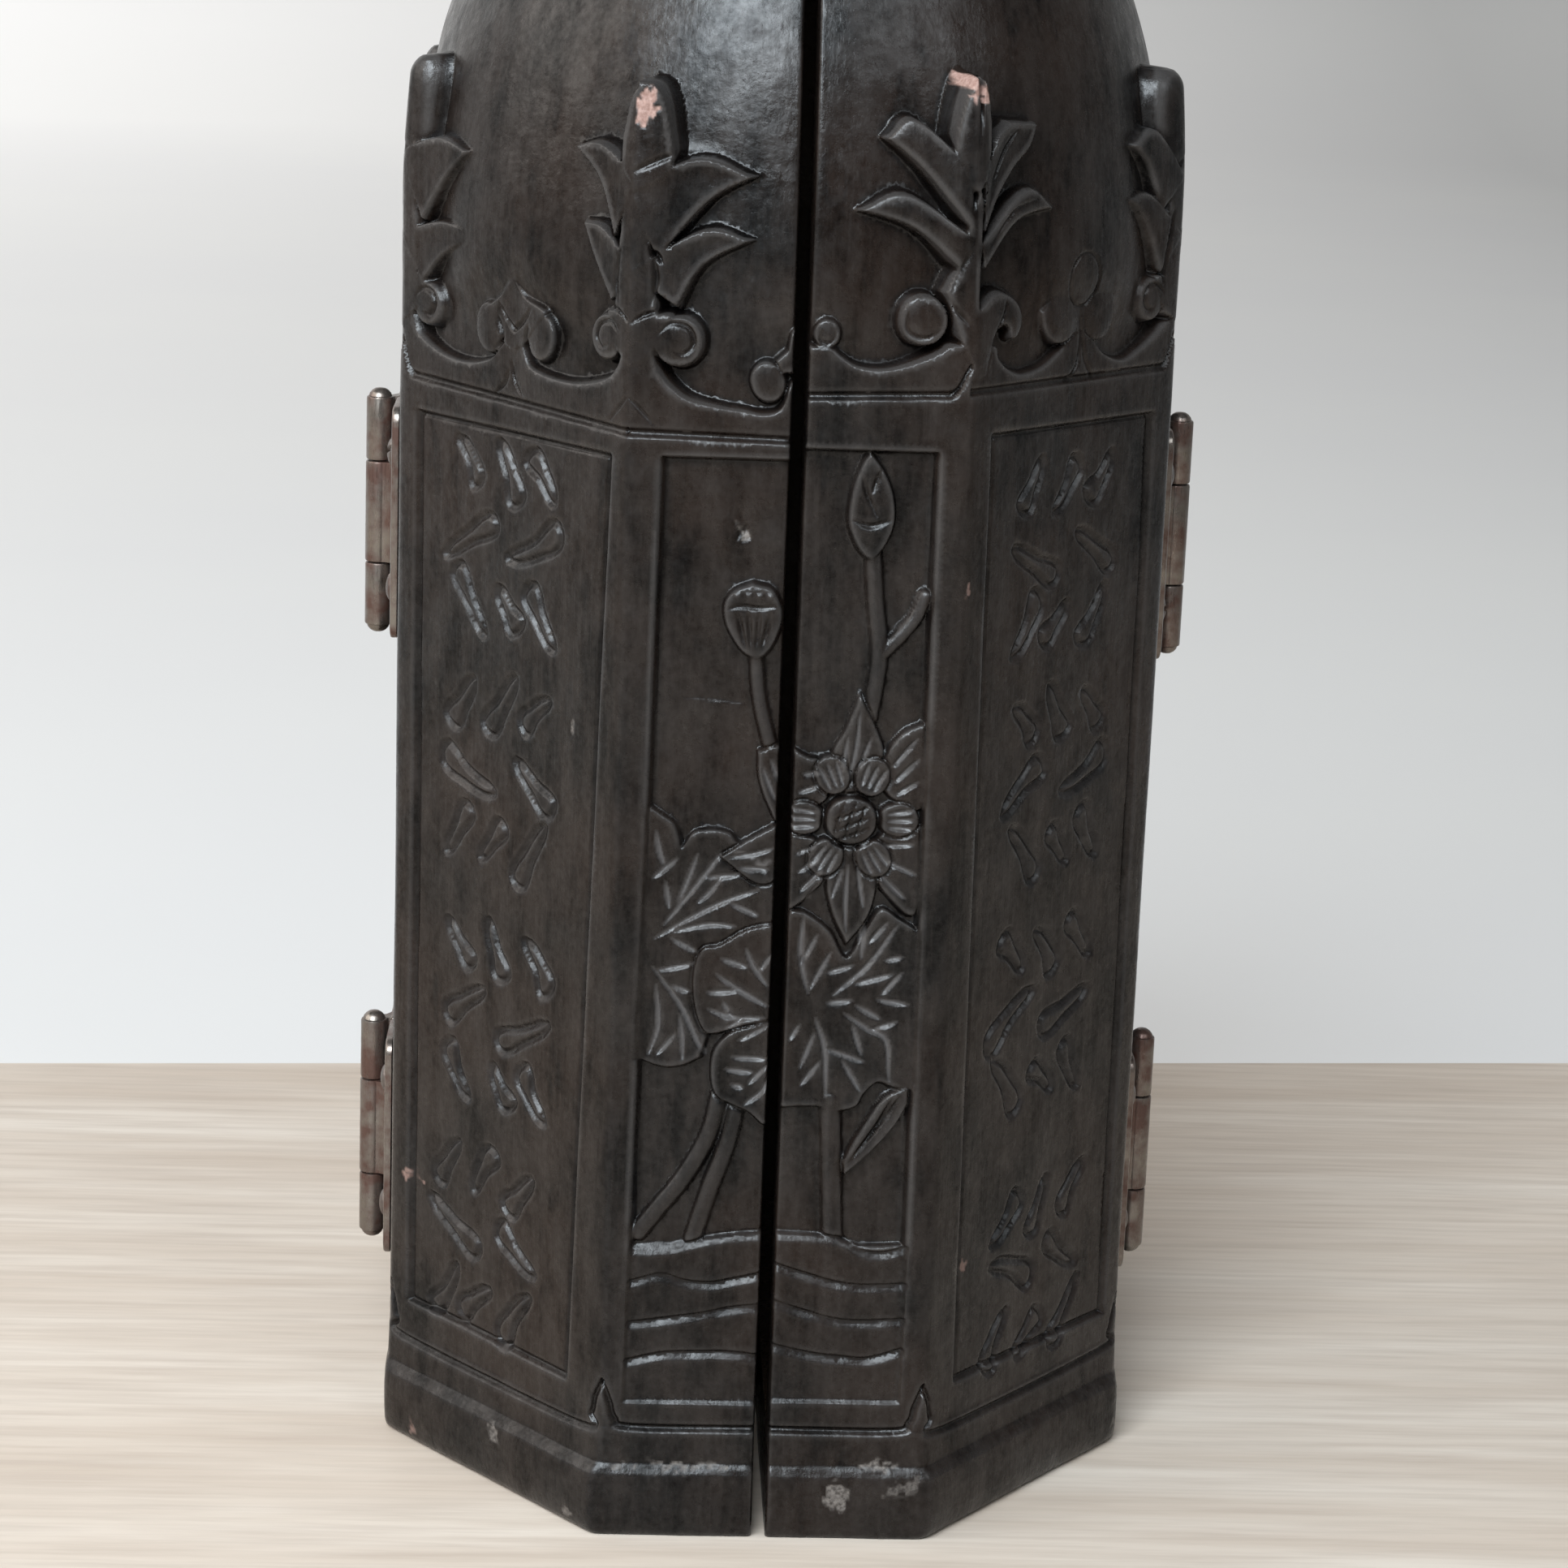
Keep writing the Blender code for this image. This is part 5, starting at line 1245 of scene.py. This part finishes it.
def knuckle_shells(to_back, low, high, radius):
    """A rolled knuckle and the web that runs from it into the plate."""
    tube = turned(((PIN_RADIUS + 0.1, low), (radius - 0.28, low), (radius - 0.07, low + 0.1),
                   (radius, low + 0.32), (radius, high - 0.32), (radius - 0.07, high - 0.1),
                   (radius - 0.28, high), (PIN_RADIUS + 0.1, high)), (HINGE_AXIS, 0.0, 0.0), True)
    web = [(55.45, 0.5), (55.45, 3.4), (56.45, 3.6), (56.75, 3.0), (57.3, 2.4), (58.1, 2.0),
           (HINGE_AXIS, 1.9), (HINGE_AXIS, 1.0), (57.6, 0.5)]
    rows = []
    for up, inset in ((low + 0.1, 0.1), (low + 0.25, 0.0), (high - 0.25, 0.0), (high - 0.1, 0.1)):
        rows.append([(out - (inset if out > 57.0 else 0.0), to_back * depth, up)
                     for out, depth in web])
    return [tube, loft(rows)]


def screw_shell(to_back, level, slot_turn):
    """A round-headed screw with a slot, standing on the plate."""
    turns = np.linspace(0.0, 2.0 * math.pi, 48, endpoint=False)
    rows = []
    for radius, rise in SCREW_HEAD:
        depth, up = radius * np.cos(turns), radius * np.sin(turns)
        across = np.abs(depth * math.cos(slot_turn) + up * math.sin(slot_turn))
        slot = 0.5 * smooth01((0.42 - across) / 0.18) * (rise > 0.1)
        rows.append(np.stack([PLATE[1] + rise - slot, to_back * SCREW_REACH + depth,
                              level + up], 1))
    return loft(rows)


def metal_piece(node, body, side, shells, material):
    """One piece of metal from its shells, on the left or the right of the box."""
    bm = bmesh.new()
    for points, faces in shells:
        vertices = [bm.verts.new((side * out * MM, depth * MM, up * MM))
                    for out, depth, up in points]
        for face in faces:
            bm.faces.new([vertices[index] for index in face])
    bmesh.ops.recalc_face_normals(bm, faces=bm.faces)
    for face in bm.faces:
        face.smooth = True
    for edge in bm.edges:
        edge.smooth = edge.calc_face_angle(0.0) < 0.75
    mesh = bpy.data.meshes.new(node + "_worn")
    bm.to_mesh(mesh)
    bm.free()
    mesh.materials.append(material)
    piece = bpy.data.objects.new(node + "_worn", mesh)
    bpy.context.scene.collection.objects.link(piece)
    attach(piece, body)
    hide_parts(node)


def make_hinges(brass, steel):
    chance = np.random.default_rng(5)
    for side_name, side in (("left", -1), ("right", 1)):
        door = side_name + "_door"
        for level_name, level in HINGE_LEVELS.items():
            hinge = side_name + "_" + level_name
            low, high = level - HINGE_HALF, level + HINGE_HALF
            middle_low, middle_high = level - MIDDLE_HALF, level + MIDDLE_HALF
            back = [plate_shell(1, level)]
            back += knuckle_shells(1, low, middle_low - KNUCKLE_GAP, KNUCKLE_RADIUS)
            back += knuckle_shells(1, middle_high + KNUCKLE_GAP, high, KNUCKLE_RADIUS)
            metal_piece(hinge + "_hinge_back_leaf", "back", side, back, brass)
            front = [plate_shell(-1, level)]
            front += knuckle_shells(-1, middle_low, middle_high, KNUCKLE_RADIUS + 0.04)
            metal_piece(hinge + "_hinge_door_leaf", door, side, front, brass)
            pin = turned(((0.2, -18.2), (0.75, -18.12), (1.2, -17.85), (1.55, -17.45),
                          (1.7, -17.02), (PIN_RADIUS, -17.0), (PIN_RADIUS, 17.0), (1.7, 17.02),
                          (1.55, 17.45), (1.2, 17.85), (0.75, 18.12), (0.2, 18.2)),
                         (HINGE_AXIS, 0.0, level))
            metal_piece(hinge + "_hinge_pin", "back", side, [pin], brass)
            for part, body, to_back in (("door", door, -1), ("back", "back", 1)):
                for number, rise in ((1, -SCREW_RISE), (2, SCREW_RISE)):
                    screw = screw_shell(to_back, level + rise, chance.uniform(0.0, math.pi))
                    metal_piece("%s_%s_screw_%d" % (hinge, part, number), body, side, [screw],
                                steel)


# Materials

class Nodes:
    """Short ways to add shader nodes and join them."""

    def __init__(self, name):
        self.material = bpy.data.materials.new(name)
        self.material.use_nodes = True
        self.tree = self.material.node_tree
        self.shader = self.tree.nodes["Principled BSDF"]
        self.place = self.add("ShaderNodeTexCoord").outputs["Object"]

    def add(self, kind, **settings):
        node = self.tree.nodes.new(kind)
        for key, value in settings.items():
            setattr(node, key, value)
        return node

    def join(self, source, target):
        self.tree.links.new(source, target)

    def stretched(self, scale):
        node = self.add("ShaderNodeMapping")
        self.join(self.place, node.inputs["Vector"])
        node.inputs["Scale"].default_value = scale
        return node.outputs["Vector"]

    def noise(self, scale, detail=4.0, roughness=0.55, vector=None):
        node = self.add("ShaderNodeTexNoise")
        self.join(vector or self.place, node.inputs["Vector"])
        node.inputs["Scale"].default_value = scale
        node.inputs["Detail"].default_value = detail
        node.inputs["Roughness"].default_value = roughness
        return node.outputs["Fac"]

    def remap(self, value, low, high, new_low=0.0, new_high=1.0):
        node = self.add("ShaderNodeMapRange")
        self.join(value, node.inputs["Value"])
        for key, number in (("From Min", low), ("From Max", high), ("To Min", new_low),
                            ("To Max", new_high)):
            node.inputs[key].default_value = number
        return node.outputs["Result"]

    def math(self, operation, first, second):
        node = self.add("ShaderNodeMath", operation=operation, use_clamp=False)
        for socket, value in zip(node.inputs, (first, second)):
            if isinstance(value, (int, float)):
                socket.default_value = value
            else:
                self.join(value, socket)
        return node.outputs["Value"]

    def mix(self, share, first, second):
        node = self.add("ShaderNodeMix", data_type="RGBA")
        if isinstance(share, (int, float)):
            node.inputs[0].default_value = share
        else:
            self.join(share, node.inputs[0])
        for socket, value in ((node.inputs[6], first), (node.inputs[7], second)):
            if isinstance(value, tuple):
                socket.default_value = (*value, 1.0)
            else:
                self.join(value, socket)
        return node.outputs[2]

    def layer(self, name):
        return self.add("ShaderNodeAttribute", attribute_name=name).outputs["Fac"]

    def bump(self, height, strength, distance, below=None):
        node = self.add("ShaderNodeBump")
        self.join(height, node.inputs["Height"])
        node.inputs["Strength"].default_value = strength
        node.inputs["Distance"].default_value = distance
        if below is not None:
            self.join(below, node.inputs["Normal"])
        return node.outputs["Normal"]


def wood_material():
    nodes = Nodes("dark stained wood")
    streaks = nodes.noise(1500.0, 5.0, 0.6, nodes.stretched((1.0, 1.0, 0.07)))
    smears = nodes.noise(230.0, 5.0, 0.65, nodes.stretched((1.0, 1.0, 0.35)))
    pits = nodes.noise(1700.0, 4.0, 0.65)
    hand = nodes.noise(170.0, 3.0, 0.5)
    patches = nodes.noise(38.0, 3.0, 0.5)
    relief = nodes.layer("relief")
    edge = nodes.remap(relief, 0.05, 0.45)
    hollow = nodes.remap(relief, -0.06, -0.45)
    stain = nodes.mix(nodes.remap(patches, 0.40, 0.66, 0.0, 1.0), (0.0026, 0.0023, 0.0022),
                      (0.0095, 0.0056, 0.0040))
    stain = nodes.mix(nodes.remap(smears, 0.42, 0.72, 0.0, 0.75), stain, (0.0135, 0.0098, 0.0082))
    stain = nodes.mix(nodes.remap(smears, 0.46, 0.30, 0.0, 0.8), stain, (0.0008, 0.0007, 0.0007))
    stain = nodes.mix(nodes.remap(streaks, 0.5, 0.8, 0.0, 0.5), stain, (0.0150, 0.0118, 0.0102))
    # Edges are painted lighter: partly rubbed wear, partly painted highlight along the edges.
    stain = nodes.mix(nodes.math("MULTIPLY", edge, 0.50), stain, (0.050, 0.046, 0.044))
    # Hollows are painted darker: painted shade in the recesses.
    stain = nodes.mix(nodes.math("MULTIPLY", hollow, 0.7), stain, (0.0024, 0.0020, 0.0020))
    stain = nodes.mix(nodes.math("MULTIPLY", nodes.layer("inside"), 0.6), stain,
                      (0.040, 0.025, 0.017))
    dusty = nodes.math("MULTIPLY", nodes.layer("dust"), nodes.remap(pits, 0.36, 0.60, 0.2, 0.75))
    stain = nodes.mix(dusty, stain, (0.175, 0.155, 0.140))
    bare = nodes.mix(nodes.remap(pits, 0.35, 0.65), (0.19, 0.110, 0.090), (0.30, 0.200, 0.170))
    # Cuts are painted lighter: rubbed stain and painted highlight in the grooves.
    stain = nodes.mix(nodes.math("MULTIPLY", nodes.layer("scrape_and_highlight"), 0.9), stain,
                      (0.085, 0.079, 0.077))
    stain = nodes.mix(nodes.layer("chip"), stain, bare)
    nodes.join(stain, nodes.shader.inputs["Base Color"])
    rough = nodes.remap(nodes.noise(330.0, 5.0, 0.65), 0.3, 0.7, 0.19, 0.40)
    rough = nodes.math("ADD", rough, nodes.math("MULTIPLY", nodes.layer("chip"), 0.35))
    rough = nodes.math("ADD", rough, nodes.math("MULTIPLY", dusty, 0.4))
    nodes.join(rough, nodes.shader.inputs["Roughness"])
    shine = nodes.math("ADD", nodes.remap(smears, 0.34, 0.66, 0.16, 0.30),
                       nodes.remap(nodes.noise(900.0, 4.0, 0.7), 0.35, 0.65, -0.05, 0.09))
    nodes.join(shine, nodes.shader.inputs["Specular IOR Level"])
    normal = nodes.bump(hand, 0.6, 0.00045)
    normal = nodes.bump(streaks, 0.5, 0.00010, normal)
    normal = nodes.bump(pits, 0.5, 0.00008, normal)
    nodes.join(normal, nodes.shader.inputs["Normal"])
    return nodes.material


def metal_material(name, clean, tarnish, roughness):
    nodes = Nodes(name)
    patches = nodes.noise(300.0, 4.0, 0.55)
    scratches = nodes.noise(2600.0, 3.0, 0.6, nodes.stretched((1.0, 1.0, 0.12)))
    colour = nodes.mix(nodes.remap(patches, 0.36, 0.62), clean, tarnish)
    nodes.join(colour, nodes.shader.inputs["Base Color"])
    nodes.join(nodes.remap(patches, 0.36, 0.66, 1.0, 0.55), nodes.shader.inputs["Metallic"])
    nodes.join(nodes.remap(scratches, 0.3, 0.7, roughness - 0.08, roughness + 0.12),
               nodes.shader.inputs["Roughness"])
    nodes.join(nodes.bump(patches, 0.4, 0.00012, nodes.bump(scratches, 0.3, 0.00005)),
               nodes.shader.inputs["Normal"])
    return nodes.material


# Floor, light and camera

CAMERA_PLACE = Vector((-0.0230, -0.5476, 0.2350))
CAMERA_AHEAD = Vector((0.0448, 0.9687, -0.2442))
CAMERA_UP = Vector((-0.0261, 0.2455, 0.9690))
LENS = 86.03                    # on a 36 mm sensor
BACKDROP_GLOW = (0.48, 0.13, 0.50, 1.7)    # painted light, the backdrop's own glow: on the left and right; shares in front and behind
BOARD_EDGE = (0.0117, 0.1583)   # a place on the board's rear edge, which looks level
BOARD_TURN = 4.1                # degrees
AIM = (0.0, 0.0, 0.13)
# Name, place, aim, size, power in watts and colour
LIGHTS = (("window", (-0.34, -0.92, 0.90), AIM, (0.72, 0.74), 33.0, (0.84, 0.93, 1.0)),
          ("second window", (0.66, -0.86, 0.92), AIM, (0.60, 0.60), 4.5, (0.88, 0.95, 1.0)),
          ("left side", (-1.15, -0.25, 0.75), (-0.35, 0.0, 0.0), (1.2, 0.9), 11.0,
           (1.0, 0.94, 0.88)),
          ("overhead", (-0.15, 0.10, 1.60), (0.0, 0.0, 0.0), (1.6, 1.4), 1.5, (0.97, 0.98, 1.0)),
          ("behind left", (-1.2, 1.0, 0.9), AIM, (1.2, 1.0), 2.0, (1.0, 0.99, 0.97)))


def add_camera():
    data = bpy.data.cameras.new("camera")
    data.lens = LENS
    data.sensor_width = 36.0
    data.clip_start = 0.01
    data.clip_end = 20.0
    camera = bpy.data.objects.new("camera", data)
    bpy.context.scene.collection.objects.link(camera)
    back = -CAMERA_AHEAD.normalized()
    right = CAMERA_UP.cross(back).normalized()
    up = back.cross(right)
    turn = Matrix((right, up, back)).transposed().to_4x4()
    camera.matrix_world = Matrix.Translation(CAMERA_PLACE) @ turn
    bpy.context.scene.camera = camera


def add_area(name, place, target, size, power, colour):
    data = bpy.data.lights.new(name, "AREA")
    data.shape = "RECTANGLE"
    data.size, data.size_y = size
    data.energy = power
    data.color = colour
    lamp = bpy.data.objects.new(name, data)
    bpy.context.scene.collection.objects.link(lamp)
    lamp.location = place
    lamp.rotation_euler = (Vector(target) - Vector(place)).to_track_quat("-Z", "Y").to_euler()
    lamp.visible_camera = False


def add_lights():
    """Daylight from the upper left and overhead, as in the photographed room."""
    bpy.context.scene.view_settings.view_transform = "Standard"
    world = bpy.data.worlds.new("studio")
    world.use_nodes = True
    world.node_tree.nodes["Background"].inputs["Color"].default_value = (0.93, 0.96, 1.0, 1.0)
    world.node_tree.nodes["Background"].inputs["Strength"].default_value = 0.08
    bpy.context.scene.world = world
    for light in LIGHTS:
        add_area(*light)


def board_material():
    nodes = Nodes("pale board")
    grain = nodes.noise(60.0, 6.0, 0.6, nodes.stretched((0.08, 1.0, 1.0)))
    fine = nodes.noise(420.0, 4.0, 0.6, nodes.stretched((0.06, 1.0, 1.0)))
    colour = nodes.mix(nodes.remap(grain, 0.35, 0.65), (0.43, 0.355, 0.290), (0.53, 0.465, 0.400))
    colour = nodes.mix(nodes.remap(fine, 0.4, 0.7, 0.0, 0.55), colour, (0.335, 0.270, 0.220))
    nodes.join(colour, nodes.shader.inputs["Base Color"])
    nodes.shader.inputs["Roughness"].default_value = 0.55
    return nodes.material


def backdrop_material():
    nodes = Nodes("glowing backdrop")
    colour = nodes.mix(nodes.remap(nodes.noise(1.5), 0.4, 0.6), (0.34, 0.34, 0.34),
                       (0.36, 0.36, 0.35))
    nodes.join(colour, nodes.shader.inputs["Base Color"])
    nodes.shader.inputs["Roughness"].default_value = 0.9
    # Painted light: the backdrop glows, stronger on the left and far behind, weaker on the right
    # and in front.
    nodes.shader.inputs["Emission Color"].default_value = (1.0, 0.99, 0.975, 1.0)
    axes = nodes.add("ShaderNodeSeparateXYZ")
    nodes.join(nodes.place, axes.inputs["Vector"])
    sideways = nodes.remap(axes.outputs["X"], -0.7, 0.7, BACKDROP_GLOW[0], BACKDROP_GLOW[1])
    depthways = nodes.remap(axes.outputs["Y"], -1.0, 0.3, BACKDROP_GLOW[2], 1.0)
    far = nodes.remap(axes.outputs["Y"], 0.3, 2.8, 1.0, BACKDROP_GLOW[3])
    nodes.join(nodes.math("MULTIPLY", sideways, nodes.math("MULTIPLY", depthways, far)),
               nodes.shader.inputs["Emission Strength"])
    return nodes.material


def stage_mesh(name, points, faces, material):
    mesh = bpy.data.meshes.new(name)
    mesh.from_pydata(points, [], faces)
    mesh.materials.append(material)
    item = bpy.data.objects.new(name, mesh)
    bpy.context.scene.collection.objects.link(item)
    return item


def add_stage():
    """A thin pale board under the box, on a floor that rises to a wall all round and glows with
    painted light, brightest on the left and far behind.
    """
    turn = math.radians(BOARD_TURN)
    corners = []
    for level in (-0.003, 0.0):
        for x, y in ((-1.3, -1.5), (1.3, -1.5), (1.3, 0.0), (-1.3, 0.0)):
            corners.append((BOARD_EDGE[0] + x * math.cos(turn) - y * math.sin(turn),
                            BOARD_EDGE[1] + x * math.sin(turn) + y * math.cos(turn), level))
    stage_mesh("board", corners, [(3, 2, 1, 0), (4, 5, 6, 7), (0, 1, 5, 4), (1, 2, 6, 5),
                                  (2, 3, 7, 6), (3, 0, 4, 7)], board_material())
    profile = [(0.0, -0.0035), (2.6, -0.0035), (3.0, 0.1), (3.3, 0.5), (3.4, 1.2), (3.4, 3.2)]
    sides = 48
    points = [(radius * math.cos(2 * math.pi * step / sides),
               radius * math.sin(2 * math.pi * step / sides), level)
              for radius, level in profile[1:] for step in range(sides)]
    faces = [list(range(sides))]
    for row in range(len(profile) - 2):
        for step in range(sides):
            low_index = row * sides + step
            next_index = row * sides + (step + 1) % sides
            faces.append([low_index, low_index + sides, next_index + sides, next_index])
    sweep = stage_mesh("backdrop", points, faces, backdrop_material())
    for face in sweep.data.polygons:
        face.use_smooth = True


def main():
    step = STEP
    add_camera()
    add_lights()
    add_stage()
    wood = wood_material()
    for side in ("left", "right"):
        make_door(side, wood, step)
    make_back(wood, step)
    brass = metal_material("tarnished brass", (0.20, 0.180, 0.160), (0.085, 0.048, 0.038), 0.30)
    steel = metal_material("dark steel", (0.17, 0.155, 0.145), (0.070, 0.044, 0.036), 0.34)
    make_hinges(brass, steel)


main()
